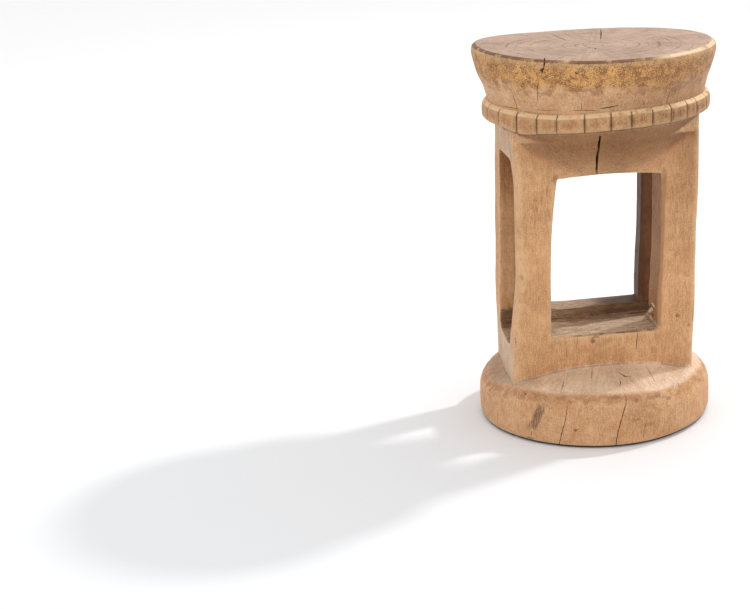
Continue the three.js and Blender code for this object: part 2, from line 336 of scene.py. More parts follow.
def foot_coordinates(x, y, z):
    """Radius and height on the upright section that the worn foot comes from."""
    y0 = y / LOG_FLATTENING
    z0 = z
    angle = angle_from_front(x, y0)
    inset = 0
    for _ in range(5):
        radius = np.hypot(x, y0) / (1 - inset / LOG_RADIUS)
        raised = smoothstep(z0, FOOT_WALL_TOP, FOOT_SHOULDER)
        shoulder = smoothstep(radius, 96, 131) * raised
        corners = bump(angle, -FOOT_CORNER_ANGLE, 13) + bump(angle, FOOT_CORNER_ANGLE, 13)
        worn = (1 - smoothstep(z0, 1, 14)) * smoothstep(radius, 100, 134)
        inset = FOOT_WORN_INSET * worn * bump(angle, 42, 22)
        drop = FOOT_RIGHT_DROP * bump(angle, FOOT_RIGHT_ANGLE, FOOT_RIGHT_SPREAD)
        lift = FOOT_FRONT_LIFT * bump(angle, -12, 34) - drop
        scooped = smoothstep(radius, *HOLLOW_INNER) * raised
        scooped = scooped * lerp(1, HOLLOW_AT_WALL, smoothstep(radius, *HOLLOW_OUTER))
        hollow = HOLLOW_DEPTH * scooped * bump(angle, HOLLOW_ANGLE, HOLLOW_SPREAD)
        gusset = np.exp(-(((radius - FOOT_CORNER_RADIUS) / 9) ** 2)) * raised
        z0 = z - shoulder * lift - gusset * FOOT_CORNER_LIFT * corners + hollow
    return radius, z0


def groove_angles():
    """Angles of the collar's grooves: the measured ones in front, then an even, slightly uneven run."""
    first, last = FRONT_GROOVES[0], FRONT_GROOVES[-1]
    rest = BLOCK_COUNT - len(FRONT_GROOVES)
    pitch = (360 - (last - first)) / (rest + 1)
    angles = list(FRONT_GROOVES)
    for i in range(1, rest + 1):
        angles.append(last + i * pitch + 1.3 * math.sin(i * 2.4))
    return angles


def cut_grooves(field, x, y, z):
    """Cuts the V grooves into the collar's distance field."""
    for number, angle in enumerate(groove_angles()):
        mouth = GROOVE_WIDTH * (1 + 0.25 * math.sin(number * 1.7))
        turn = math.radians(angle)
        out_x, out_y = math.sin(turn), -math.cos(turn)
        reach = COLLAR_RADIUS / math.hypot(math.sin(turn), math.cos(turn) / LOG_FLATTENING)
        local_x = x - COLLAR_SHIFT_X
        depth = local_x * out_x + y * out_y - (reach - GROOVE_DEPTH)
        side = np.hypot(local_x * out_y - y * out_x, GROOVE_TIP)
        near = (side < 12) & (depth > -8)
        i, j = np.nonzero(near[:, :, 0])
        slope = mouth / (GROOVE_DEPTH + 4)
        flank = (side[i, j] - slope * depth[i, j]) / math.hypot(1, slope)
        bottom = COLLAR_BOTTOM - GROOVE_BELOW + collar_rise(np.float32(angle))
        top = bottom + COLLAR_TOP - COLLAR_BOTTOM + GROOVE_BELOW + GROOVE_ABOVE
        ends = np.maximum(bottom - z, z - top)[0]
        wedge = smooth_max(np.broadcast_to(flank, (len(i), z.shape[2])), ends, 2.5)
        field[i, j] = smooth_max(field[i, j], -wedge, 0.9)


def front_window_outline():
    """The front window's outline as (x, height)."""
    def bend(start, pull, end, count=10):
        t = np.linspace(0, 1, count)[:, None]
        return (1 - t) ** 2 * np.array(start) + 2 * t * (1 - t) * np.array(pull) + t**2 * np.array(end)

    return np.vstack(
        [
            [(-64, SILL), (-19, SILL - 1.2), (61, SILL)],
            bend((61, SILL), (60, 150), (63.5, 200))[1:],
            bend((63.5, 200), (65.5, 260), (64.5, LINTEL - 2.3))[1:],
            bend((64.5, LINTEL - 2.3), (20, LINTEL + 2.6), (-20, LINTEL + 0.8))[1:],
            [(-54.5, LINTEL - 1)],
            bend((-54.5, LINTEL - 1), (-62, 255), (-63, 200))[1:],
        ]
    )


SIDE_WINDOW_SPAN = 68


def side_window_outline():
    """The side window's outline as (share of its width in mm, height)."""
    def bend(start, pull, end, count=7):
        t = np.linspace(0, 1, count)[:, None]
        return (1 - t) ** 2 * np.array(start) + 2 * t * (1 - t) * np.array(pull) + t**2 * np.array(end)

    low, high = SIDE_WINDOW_BOTTOM, SIDE_WINDOW_TOP
    outline = np.vstack(
        [
            bend((0, low + 6), (0.05, low), (0.3, low)),
            bend((0.75, low), (0.95, low), (1, low + 5)),
            bend((1, high - 6), (0.97, high), (0.85, high)),
            bend((0.15, high + 2), (0.03, high + 2), (0, high - 4)),
        ]
    )
    outline[:, 0] *= SIDE_WINDOW_SPAN
    return outline


def front_window_field(outline, x, y, z):
    spread = WINDOW_SPLAY * smoothstep(y, 0, SHAFT_HALF)
    narrow = x / (1 + spread / 60)
    straight = np.where(x <= 0, x, np.where(narrow < 60, narrow, x - spread))
    return outline.at(*np.broadcast_arrays(straight, z))


def side_window_field(outline, x, y, z):
    length = LOG_RADIUS * 2 + 40
    along = x / length + 0.5
    turn = smoothstep(along, 0.3, 0.75)
    low_part = 1 - smoothstep(z, SILL, SILL + 11)
    wall = lerp(CHANNEL_FRONT_LEFT, CHANNEL_FRONT_RIGHT, turn)
    inside = smoothstep(along, 0.12, 0.22)
    front = wall + low_part * inside * lerp(RAIL_STEP_LEFT, RAIL_STEP_RIGHT, turn)
    share = (y - front) / (CHANNEL_BACK - front) * SIDE_WINDOW_SPAN
    return outline.at(*np.broadcast_arrays(share, z))


def stool_field(step):
    """The stool's signed distance on a grid, in millimetres: (field, lowest corner)."""
    low = np.array([-145.0, -139.0, -4.0])
    high = np.array([145.0, 139.0, 455.0])
    count = np.ceil((high - low) / step).astype(int) + 1
    axes = [(low[i] + np.arange(count[i]) * step).astype(np.float32) for i in range(3)]
    x = axes[0][:, None, None]
    y = axes[1][None, :, None]
    field = np.full(count, 40, np.float32)

    def layers(start, end):
        k0 = max(0, int((start - low[2]) / step))
        k1 = min(count[2], int((end - low[2]) / step) + 1)
        return slice(k0, k1), axes[2][None, None, k0:k1]

    at, z = layers(300, 470)
    outline = Outline(crown_outline(), soften=2)
    radius, height, _ = crown_coordinates(x, y, z)
    crown = outline.at(radius, height)
    cut_grooves(crown, x, y, z)
    field[:, :, at] = crown

    at, z = layers(-10, 110)
    outline = Outline(foot_outline(), soften=2)
    radius, height = foot_coordinates(x, y, z)
    field[:, :, at] = np.minimum(field[:, :, at], outline.at(radius, height))

    at, z = layers(SHAFT_BOTTOM, SHAFT_TOP)
    depth = np.clip((y + SHAFT_HALF) / (2 * SHAFT_HALF), 0, 1)
    left = lerp(stationed(LEFT_FRONT_EDGE, z), stationed(LEFT_BACK_EDGE, z), depth)
    right = stationed(RIGHT_EDGE, z)
    a = np.maximum(left - x, x - right) + SHAFT_CORNER
    b = np.abs(y) - SHAFT_HALF + SHAFT_CORNER
    inner = np.minimum(np.maximum(a, b), 0)
    shaft = inner + np.hypot(np.maximum(a, 0), np.maximum(b, 0)) - SHAFT_CORNER
    shaft = np.maximum(shaft, np.maximum(SHAFT_BOTTOM - z, z - SHAFT_TOP))
    under_seat = lerp(np.float32(5), np.float32(20), smoothstep(np.abs(y), 50, 76))
    joint = lerp(np.float32(1.6), under_seat, smoothstep(z, 200, 250) * (1 - smoothstep(z, 348, 362)))
    field[:, :, at] = smooth_min(field[:, :, at], shaft, joint)

    at, z = layers(90, 340)
    window = front_window_field(Outline(front_window_outline(), soften=4), x, y, z)
    field[:, :, at] = smooth_max(field[:, :, at], -window, 3.2)
    window = side_window_field(Outline(side_window_outline(), soften=4), x, y, z)
    field[:, :, at] = smooth_max(field[:, :, at], -window, 3.0)
    return field, low


def surface_mesh(field, low, step):
    """Vertices and four-sided faces of the field's zero surface, one vertex for each cell it crosses."""
    solid = field < 0
    corners = [(i, j, k) for i in (0, 1) for j in (0, 1) for k in (0, 1)]
    size = np.array(field.shape) - 1

    def shifted(array, corner):
        i, j, k = corner
        return array[i : size[0] + i, j : size[1] + j, k : size[2] + k]

    full = np.ones(tuple(size), bool)
    some = np.zeros(tuple(size), bool)
    for corner in corners:
        part = shifted(solid, corner)
        full &= part
        some |= part
    cells = np.argwhere(some & ~full)
    number = np.full(tuple(size), -1, np.int32)
    number[tuple(cells.T)] = np.arange(len(cells))
    total = np.zeros((len(cells), 3))
    crossings = np.zeros(len(cells))
    values = {c: field[tuple((cells + c).T)].astype(float) for c in corners}
    for start in corners:
        for axis in range(3):
            if start[axis]:
                continue
            end = tuple(1 if a == axis else start[a] for a in range(3))
            v0, v1 = values[start], values[end]
            cut = (v0 < 0) != (v1 < 0)
            share = np.where(cut, v0 / np.where(cut, v0 - v1, 1), 0)
            place = np.tile(np.array(start, float), (len(cells), 1))
            place[:, axis] += share
            total += place * cut[:, None]
            crossings += cut
    vertices = low + (cells + total / crossings[:, None]) * step
    faces = []
    for axis in range(3):
        u, v = (axis + 1) % 3, (axis + 2) % 3
        ahead = np.roll(solid, -1, axis)
        cut = solid != ahead
        cut[tuple(slice(-1, None) if a == axis else slice(None) for a in range(3))] = False
        edges = np.argwhere(cut)
        outward = solid[tuple(edges.T)]
        quad = []
        for du, dv in ((0, 0), (1, 0), (1, 1), (0, 1)):
            cell = edges.copy()
            cell[:, u] -= du
            cell[:, v] -= dv
            quad.append(number[tuple(cell.T)])
        quad = np.stack(quad, 1)
        quad = np.where(outward[:, None], quad[:, ::-1], quad)
        faces.append(quad[:, ::-1])
    return vertices, np.vstack(faces)


def vertex_normals(vertices, faces):
    a, b, c, d = (vertices[faces[:, i]] for i in range(4))
    flat = np.cross(c - a, d - b)
    normals = np.zeros_like(vertices)
    for i in range(4):
        for axis in range(3):
            normals[:, axis] += np.bincount(faces[:, i], flat[:, axis], len(vertices))
    return normals / np.maximum(np.linalg.norm(normals, axis=1, keepdims=True), 1e-9)


def hashed(*whole, seed=0):
    """A fixed value from 0 to 1 for each set of whole numbers."""
    h = np.full(whole[0].shape, 2166136261 + seed * 7919, np.uint64)
    for number in whole:
        h = (h ^ (number.astype(np.int64) & 0xFFFFFFFF).astype(np.uint64)) * np.uint64(16777619)
        h = (h ^ (h >> np.uint64(13))) & np.uint64(0xFFFFFFFF)
    h = (h * np.uint64(2654435761)) & np.uint64(0xFFFFFFFF)
    h ^= h >> np.uint64(16)
    return h.astype(float) / 0xFFFFFFFF


def rolling(points, spacing, seed):
    """Smooth noise from -1 to 1 in space, with its own spacing along each axis."""
    place = points / np.asarray(spacing, float)
    base = np.floor(place)
    part = place - base
    part = part * part * (3 - 2 * part)
    total = 0
    for i in (0, 1):
        for j in (0, 1):
            for k in (0, 1):
                value = hashed(base[:, 0] + i, base[:, 1] + j, base[:, 2] + k, seed=seed)
                share = (part[:, 0] if i else 1 - part[:, 0]) * (part[:, 1] if j else 1 - part[:, 1])
                total = total + value * share * (part[:, 2] if k else 1 - part[:, 2])
    return total * 2 - 1


def tool_strokes(across, along, width, length, seed):
    """Hollows left by a blade, 1 in the middle of each stroke and 0 on the ridges between them."""
    u, v = across / width, along / length
    u = u + 0.35 * np.sin(v * 1.3 + seed)
    i0, j0 = np.floor(u), np.floor(v)
    nearest = np.full(u.shape, 9.0)
    second = np.full(u.shape, 9.0)
    for i in (-1, 0, 1):
        for j in (-1, 0, 1):
            cu = i0 + i + 0.15 + 0.7 * hashed(i0 + i, j0 + j, seed=seed)
            cv = j0 + j + 0.15 + 0.7 * hashed(i0 + i, j0 + j, seed=seed + 1)
            away = (u - cu) ** 2 + (v - cv) ** 2
            second = np.minimum(second, np.maximum(nearest, away))
            nearest = np.minimum(nearest, away)
    ridge = np.sqrt(second) - np.sqrt(nearest)
    return smoothstep(ridge, 0, 0.9)


def regions(vertices, normals):
    """How far each vertex belongs to each part of the stool, from 0 to 1."""
    x, y, z = vertices.T
    up = normals[:, 2]
    radius, level, _ = crown_coordinates(x, y, z)
    foot_radius, foot_level = foot_coordinates(x, y, z)
    top = (z > 430) * smoothstep(SEAT_CREASE - radius, -0.9, 0.9) * (up > 0)
    above_neck = smoothstep(level, NECK - 1.6, NECK + 0.4)
    shaft = (z > 60) & (z < 350)
    reveal = (x > -98) & (x < 101) | (np.abs(normals[:, 0]) < 0.6) & (z > 92)
    within = shaft & (np.abs(y) < SHAFT_HALF - 2.5) & reveal
    shaft = shaft & ~within
    crown = smoothstep(foot_level, FOOT_CREASE - 1.7, FOOT_CREASE + 1.7)
    return {
        "top": top,
        "side": (1 - top) * above_neck,
        "collar": smoothstep(level, 365, 367) * (1 - above_neck),
        "cone": (z > 308) * (1 - smoothstep(level, 364, 367)) * smoothstep(-up, 0, 0.65) * (~within),
        "within": within * 1.0,
        "shaft": shaft * (1 - smoothstep(np.abs(up), 0.3, 0.6)),
        "foot_top": (z < 100) * crown * smoothstep(up, 0.08, 0.3),
        "foot_side": (z < 75) * (1 - crown) * (foot_radius > 100) * (up > -0.5),
        "underside": (z < 2) * smoothstep(-up, 0.5, 0.8),
    }


def tool_marks(vertices, normals, depth):
    """How far each vertex lies below the true form, in millimetres: blade strokes and wear."""
    x, y, z = vertices.T
    part = regions(vertices, normals)
    around = np.radians(angle_from_front(x, y)) * LOG_RADIUS
    radius = np.hypot(x, y)
    up_facing = normals[:, 2]
    facing_y = np.abs(normals[:, 1]) > np.abs(normals[:, 0])
    across = np.where(facing_y, x, y)
    low = 0.5 + 0.5 * rolling(vertices, (42, 42, 60), 3)
    fine = 0.5 + 0.5 * rolling(vertices, (13, 13, 22), 8)
    sunk = 0.55 * low + 0.22 * fine
    sunk += part["side"] * 0.42 * tool_strokes(z, around, 9, 34, 11)
    sunk += part["cone"] * 0.55 * tool_strokes(around, radius, 11, 26, 21)
    sunk += part["shaft"] * 0.4 * tool_strokes(across, z, 12, 52, 31)
    sunk += part["foot_side"] * 0.36 * tool_strokes(around, z, 15, 30, 41)
    sunk += part["foot_top"] * 0.75 * tool_strokes(around, radius, 11, 24, 51)
    sunk *= 1 - 0.9 * (part["within"] * (y > 33) * (z < 123) * smoothstep(up_facing, 0.4, 0.8))
    upright = np.abs(up_facing) < 0.6
    walls = tool_strokes(across, z, 9, 40, 61)
    floors = tool_strokes(y, x, 7.5, 45, 71)
    far_sill = (y > 33) & (z < 123) & (up_facing > 0.6)
    sunk += part["within"] * np.where(upright & (z > SILL), 0.6 * walls, np.where(far_sill, -0.9, 0.85 * floors))
    sunk += part["collar"] * 0.3 * fine
    for centre, reach, dent in DENTS:
        away = np.linalg.norm((vertices - centre) / reach, axis=1)
        sunk += dent * (1 - smoothstep(away, 0.65, 1.1))
    sunk *= 1 - part["underside"]
    return sunk * depth


def mesh_from(name, vertices, faces):
    mesh = bpy.data.meshes.new(name)
    mesh.from_pydata(vertices.tolist(), [], faces.tolist())
    mesh.update()
    return mesh


def applied(piece, kind, **settings):
    """Adds one modifier to a piece and applies it at once."""
    modifier = piece.modifiers.new(kind.title(), kind)
    for key, value in settings.items():
        setattr(modifier, key, value)
    graph = bpy.context.evaluated_depsgraph_get()
    graph.update()
    done = bpy.data.meshes.new_from_object(piece.evaluated_get(graph), depsgraph=graph)
    piece.modifiers.clear()
    old = piece.data
    piece.data = done
    bpy.data.meshes.remove(old)


def collar_height(angle, height):
    """The true height of a point that is measured on the level collar."""
    return height + collar_rise(np.float64(angle))


class Surface:
    """Finds points on the finished surface, so that cracks follow it."""

    def __init__(self, mesh):
        bm = bmesh.new()
        bm.from_mesh(mesh)
        self.tree = BVHTree.FromBMesh(bm)
        bm.free()

    def hit(self, start, direction):
        place, normal, _, _ = self.tree.ray_cast(Vector(start), Vector(direction).normalized())
        if place is None:
            raise RuntimeError(f"no surface from {tuple(start)} along {tuple(direction)}")
        return place, normal

    def around(self, angle, height):
        """The outermost point at an angle from the front, in degrees, and a height."""
        turn = math.radians(angle)
        out = Vector((math.sin(turn), -math.cos(turn), 0))
        return self.hit(out * 220 + Vector((0, 0, height)), -out)

    def front(self, x, height):
        return self.hit((x, -200, height), (0, 1, 0))

    def back(self, x, height):
        return self.hit((x, 200, height), (0, -1, 0))

    def above(self, x, y, start=600):
        return self.hit((x, y, start), (0, 0, -1))

    def left(self, y, height):
        return self.hit((-220, y, height), (1, 0, 0))

    def right(self, y, height):
        return self.hit((220, y, height), (-1, 0, 0))


class Crack:
    """One drying crack: where it starts and runs, and how wide and deep it opens."""

    def __init__(self, face, path, width, depth, wander=0.6, open_start=False, open_end=False):
        self.face = face
        self.path = path
        self.width = width
        self.depth = depth
        self.wander = wander
        self.open_start = open_start
        self.open_end = open_end


def wedge(surface, crack, number):
    """A thin closed wedge along a crack's path, ready to be cut out: (vertices, faces)."""
    path = rounded_path(crack.path, 3 / (math.radians(LOG_RADIUS) if crack.face == "around" else 1))
    steps = np.linalg.norm(np.diff(path, axis=0), axis=1)
    run = np.concatenate([[0], np.cumsum(steps)]) / max(steps.sum(), 1e-9)
    find = getattr(surface, crack.face)
    hits = [find(*point) for point in path]
    rings = []
    for i, (place, normal) in enumerate(hits):
        ahead = (hits[min(i + 1, len(hits) - 1)][0] - hits[max(i - 1, 0)][0]).normalized()
        sideways = ahead.cross(normal).normalized()
        start = 1.0 if crack.open_start else min(1, run[i] / 0.3)
        end = 1.0 if crack.open_end else min(1, (1 - run[i]) / 0.3)
        share = max(0.12, math.sqrt(max(start, 0)) * math.sqrt(max(end, 0)))
        jag = hashed(np.array([i]), np.array([number]), seed=5)[0] - 0.5
        half = crack.width / 2 * share * (1 + 0.5 * jag)
        depth = crack.depth * (0.35 + 0.65 * share)
        middle = place + sideways * (jag * crack.wander)
        lift = 1.6
        mouth = half * 1.25
        rings.append(
            [
                middle + normal * lift - sideways * mouth,
                middle + normal * lift + sideways * mouth,
                middle - normal * depth * 0.45 + sideways * half * 0.7,
                middle - normal * depth,
                middle - normal * depth * 0.45 - sideways * half * 0.7,
            ]
        )
    sides = len(rings[0])
    vertices = [p for ring in rings for p in ring]
    faces = [tuple(range(sides))[::-1]]
    for i in range(len(rings) - 1):
        for k in range(sides):
            a, b = i * sides + k, i * sides + (k + 1) % sides
            faces.append((a, b, b + sides, a + sides))
    last = (len(rings) - 1) * sides
    faces.append(tuple(range(last, last + sides)))
    return vertices, faces


def crack_list():
    """Every crack that is cut into the stool. Each path is in the pair of measures that its face uses."""
    return [
        # The wide one in the front of the lintel, from under the collar to the window.
        Crack(
            "front",
            [(-16.5, 362), (-15.8, 352), (-14.6, 343), (-13.2, 333), (-11.6, 322), (-10.6, 313), (-10.1, 307.6)],
            2.2, 42, wander=0.3, open_start=True, open_end=True,
        ),
        # The foot's side: two that run down to the floor, and fine ones beside them.
        Crack("around", [(3, 64.5), (3.6, 59), (3.2, 53), (1.6, 43), (0, 29), (-1.5, 15.8), (-2.2, 1.5)], 0.95, 16, open_end=True),
        Crack("around", [(-26.2, 53), (-26.8, 37.8), (-28.6, 20.7), (-30.6, 2)], 0.7, 11, open_end=True),
        Crack("around", [(-68.2, 30), (-68.6, 17), (-69.4, 4)], 0.7, 5),
        Crack("around", [(13.8, 33), (12.6, 18), (11.9, 5)], 0.6, 4),
        Crack("around", [(40.9, 49), (40.4, 36), (40.1, 24)], 0.7, 5),
        Crack("around", [(-54.2, 58), (-53.6, 49)], 0.7, 4),
        Crack("around", [(-45, 15), (-45.6, 8)], 0.9, 4),
        Crack("around", [(28, 22), (27.4, 6)], 0.5, 3),
        # The foot's crown: short checks that point at the heart of the log.
        Crack("above", [(8.4, -84.3, 200), (12.1, -88.6, 200), (16.4, -94.2, 200), (23, -94.7, 200)], 2.0, 5, wander=0.8),
        Crack("above", [(8.6, -97, 200), (7.6, -105, 200), (4.4, -113, 200)], 0.7, 4),
        Crack("above", [(46.2, -72, 200), (47.5, -90, 200), (48.6, -104, 200)], 0.7, 4),
        Crack("above", [(72, -88, 200), (80, -101, 200)], 0.6, 3),
        Crack("above", [(-18, -72, 200), (-24, -93, 200)], 0.8, 4),
        Crack("above", [(-54, -86, 200), (-64, -108, 200)], 0.7, 4),
        Crack("above", [(31, -74, 200), (36, -92, 200)], 0.5, 3),
        # The front rail, from the sill down to the foot.
        Crack("front", [(37.5, 116.5), (37.2, 110), (36.6, 101.7), (36, 92)], 0.7, 7),
        Crack("front", [(-32.8, 116), (-34.2, 107.5), (-35, 97)], 0.45, 4),
        Crack("front", [(-47, 103), (-46.6, 90)], 0.4, 3),
        # The left front corner, from under the collar to the side window.
        Crack("left", [(-53.3, 357), (-53.8, 345.3), (-53.4, 327)], 1.0, 8),
        Crack("left", [(-20, 98), (-18, 84)], 0.6, 4),
        # The seat's side: the chip's crack and the fine ones that reach the collar.
        Crack("around", [(-34.9, 446), (-35.1, 442), (-35.7, 438), (-36.3, 433.5)], 1.6, 9, wander=0.2, open_start=True),
        Crack("above", [(-72.5, -94, 600), (-74.3, -101.4, 600), (-76, -108, 600)], 1.2, 8, wander=0.2, open_end=True),
        Crack("around", [(-37.2, 431), (-38.6, 426), (-39.4, 419.9), (-40.7, 408), (-41.9, 397.2)], 0.7, 7),
        Crack("around", [(-57.4, 412), (-56.6, 404), (-56, 392.5), (-56, 386)], 0.9, 6),
        Crack("around", [(-18, 400.3), (-17.9, 391.6)], 0.7, 4),
        Crack("around", [(31.4, 412), (29.6, 404), (28.4, 391)], 0.7, 5),
        Crack("around", [(14.4, 399), (15, 391)], 0.7, 4),
        Crack("around", [(-20.4, 436.1), (-19.4, 433.6)], 1.3, 3),
        Crack("around", [(41.8, 393.6), (42.8, 393.2)], 2.4, 5, wander=0.2),
        Crack("around", [(-48, 436), (-50.2, 430)], 0.8, 3),
        # Knife lines left along the neck, above the collar.
        Crack("around", [(-68, 389.6), (-60, 389.4), (-52, 389)], 0.8, 2.2),
        Crack("around", [(-45, 390.2), (-37, 391), (-30, 391.6)], 0.7, 1.8),
        Crack("around", [(-24, 391.6), (-16, 391.8), (-9, 391.2)], 0.9, 2.2),
        Crack("around", [(-9.5, 393), (-4, 394.4), (1.5, 396.4)], 1.3, 2.8),
        # The seat: checks that run in from the back, and the dark one near the heart.
        Crack("above", [(-31, 74), (-29.8, 63.9), (-27.6, 46.4), (-25.2, 29.1), (-23.9, 10)], 1.4, 6),
        Crack("above", [(35, 96), (29.4, 70.4), (22.1, 40.2), (13, 6)], 1.3, 6),
        Crack("above", [(-14.5, -37), (-8.7, -48), (-4.2, -49.3)], 1.8, 5),
        Crack("above", [(-7.2, -56), (-6.2, -47.5)], 2.3, 5, wander=0.2),
        Crack("above", [(-52, 30), (-44, 14), (-38, 3)], 0.8, 3),
        Crack("above", [(48, 92), (52, 62)], 0.6, 3),
        Crack("above", [(-12, -20), (-10, -6)], 0.6, 3),
        Crack("above", [(44, -30), (60, -34)], 0.5, 2.5),
        # The back and the sides, which the front doesn't show, cracked more plainly in the same way.
        Crack("back", [(12, 357), (14, 341), (15, 322), (14.4, 307.6)], 1.6, 26, wander=0.3, open_end=True),
        Crack("back", [(-30, 116), (-31, 102), (-30, 86)], 0.8, 6),
        Crack("around", [(172, 66), (174, 44), (173, 22), (175, 1.5)], 1.2, 12, open_end=True),
        Crack("around", [(122, 50), (121, 24), (122.5, 2)], 0.8, 7, open_end=True),
        Crack("around", [(-140, 44), (-139, 18)], 0.7, 5),
        Crack("around", [(150, 436), (151, 418), (150, 398)], 1.0, 7),
        Crack("around", [(-120, 430), (-121, 412), (-120.4, 396)], 0.8, 6),
        Crack("around", [(98, 414), (97, 394)], 0.7, 5),
        Crack("right", [(10, 96), (12, 84)], 0.7, 4),
    ]


def cut_cracks(piece, scale):
    """Cuts the cracks into a piece with thin wedges, in groups that don't touch each other."""
    surface = Surface(piece.data)
    for turn in range(CRACK_GROUPS):
        vertices, faces = [], []
        for number, crack in enumerate(crack_list()):
            if number % CRACK_GROUPS != turn:
                continue
            crack.width *= scale
            new_vertices, new_faces = wedge(surface, crack, number)
            first = len(vertices)
            vertices += [tuple(p) for p in new_vertices]
            faces += [tuple(first + i for i in face) for face in new_faces]
        carve(piece, vertices, faces, "DIFFERENCE")


def carve(piece, vertices, faces, operation):
    """Cuts a closed form out of a piece, or joins it on."""
    mesh = bpy.data.meshes.new("cutter")
    mesh.from_pydata(vertices, [], faces)
    cutter = bpy.data.objects.new("cutter", mesh)
    bpy.context.scene.collection.objects.link(cutter)
    bm = bmesh.new()
    bm.from_mesh(mesh)
    bmesh.ops.triangulate(bm, faces=bm.faces)
    bmesh.ops.recalc_face_normals(bm, faces=bm.faces)
    bm.to_mesh(mesh)
    bm.free()
    applied(piece, "BOOLEAN", object=cutter, operation=operation, solver="MANIFOLD")
    bpy.data.objects.remove(cutter)
    bpy.data.meshes.remove(mesh)


def sampled(field, low, step, points):
    """The field's values at points, read between its grid points."""
    place = (points - low) / step
    base = np.clip(np.floor(place).astype(int), 0, np.array(field.shape) - 2)
    part = np.clip(place - base, 0, 1)
    total = 0
    for i in (0, 1):
        for j in (0, 1):
            for k in (0, 1):
                share = (part[:, 0] if i else 1 - part[:, 0]) * (part[:, 1] if j else 1 - part[:, 1])
                share = share * (part[:, 2] if k else 1 - part[:, 2])
                total = total + field[base[:, 0] + i, base[:, 1] + j, base[:, 2] + k] * share
    return total


def bend_of_surface(field, low, step, points, coarse, passes, reach):
    """How strongly the surface turns around points: above 0 on edges, below 0 in hollows."""
    part = np.clip(field[::coarse, ::coarse, ::coarse], -reach, reach)
    wide = part
    for _ in range(passes):
        wide = blurred(wide)
    return sampled(wide - part, low, step * coarse, points)


def set_measure(mesh, name, values):
    layer = mesh.attributes.new(name, "FLOAT", "POINT")
    layer.data.foreach_set("value", np.asarray(values, np.float32))


def shaft_distance(x, y, z):
    """The distance to the outside of the shaft, windows ignored."""
    depth = np.clip((y + SHAFT_HALF) / (2 * SHAFT_HALF), 0, 1)
    left = lerp(stationed(LEFT_FRONT_EDGE, z), stationed(LEFT_BACK_EDGE, z), depth)
    a = np.maximum(left - x, x - stationed(RIGHT_EDGE, z)) + SHAFT_CORNER
    b = np.abs(y) - SHAFT_HALF + SHAFT_CORNER
    return np.minimum(np.maximum(a, b), 0) + np.hypot(np.maximum(a, 0), np.maximum(b, 0)) - SHAFT_CORNER


def groove_distance(x, y):
    """How far around the collar, in mm, the nearest groove is."""
    angle = angle_from_front(x - COLLAR_SHIFT_X, y)
    nearest = np.full(angle.shape, 360.0)
    for groove in groove_angles():
        nearest = np.minimum(nearest, np.abs((angle - groove + 180) % 360 - 180))
    return np.radians(nearest) * COLLAR_RADIUS


def painted_shade(points, part):
    """How much painted shade darkens each point, from 0 to 1: under the collar, on the shaft's front towards its right,
    on the right of the seat and collar, on the left of the foot's crown, and inside the windows.
    """
    x, y, z = points.T
    angle = angle_from_front(x - COLLAR_SHIFT_X, y)
    rightward = smoothstep(angle, -18, 46) * (1 - 0.5 * smoothstep(angle, 80, 130))
    dark = part["cone"] * (0.36 + 0.5 * smoothstep(z, 312, 350) + 0.12 * smoothstep(x, -60, 10))
    dark = dark + 0.52 * part["side"] * rightward + part["collar"] * (0.1 + 0.5 * rightward)
    broad = part["shaft"] * (np.abs(y) > SHAFT_HALF - 9)
    dark = dark + broad * 0.24 * smoothstep(z, 296, 350)
    dark = dark + broad * 0.42 * smoothstep(x, 55, 100) * smoothstep(z, 150, 345)
    flank = part["shaft"] * (np.abs(y) <= SHAFT_HALF - 9)
    dark = dark + flank * (0.06 * smoothstep(z, 90, 170) + 0.14 * smoothstep(z, 318, 335))
    dark = dark + broad * 0.4 * smoothstep(x, 30, 80) * smoothstep(z, 330, 358)
    dark = dark + part["side"] * 0.22 * smoothstep(-x, 95, 122) * smoothstep(z, 405, 432)
    dark = dark + part["foot_top"] * 0.6 * smoothstep(-x, 78, 112)
    back = smoothstep(y, 6, 32)
    right = smoothstep(x, -30, 52)
    inwards = 0.34 + 0.66 * back * right * smoothstep(z, 122, 130) * (1 - 0.75 * smoothstep(x, 69, 76))
    by_slot = 0.14 * smoothstep(z, 200, 235) + 0.4 * smoothstep(z, 235, 285)
    walls = lerp(inwards, by_slot, smoothstep(-x, 84, 90))
    rails = (0.15 + 0.55 * right) * smoothstep(y, 24, 34)
    dark = dark + part["within"] * np.where(z > 123, walls, rails)
    dark = dark + part["side"] * 0.3 * (1 - smoothstep(z, 395, 412)) * bump(angle, 2, 20)
    return np.clip(dark, 0, 1)


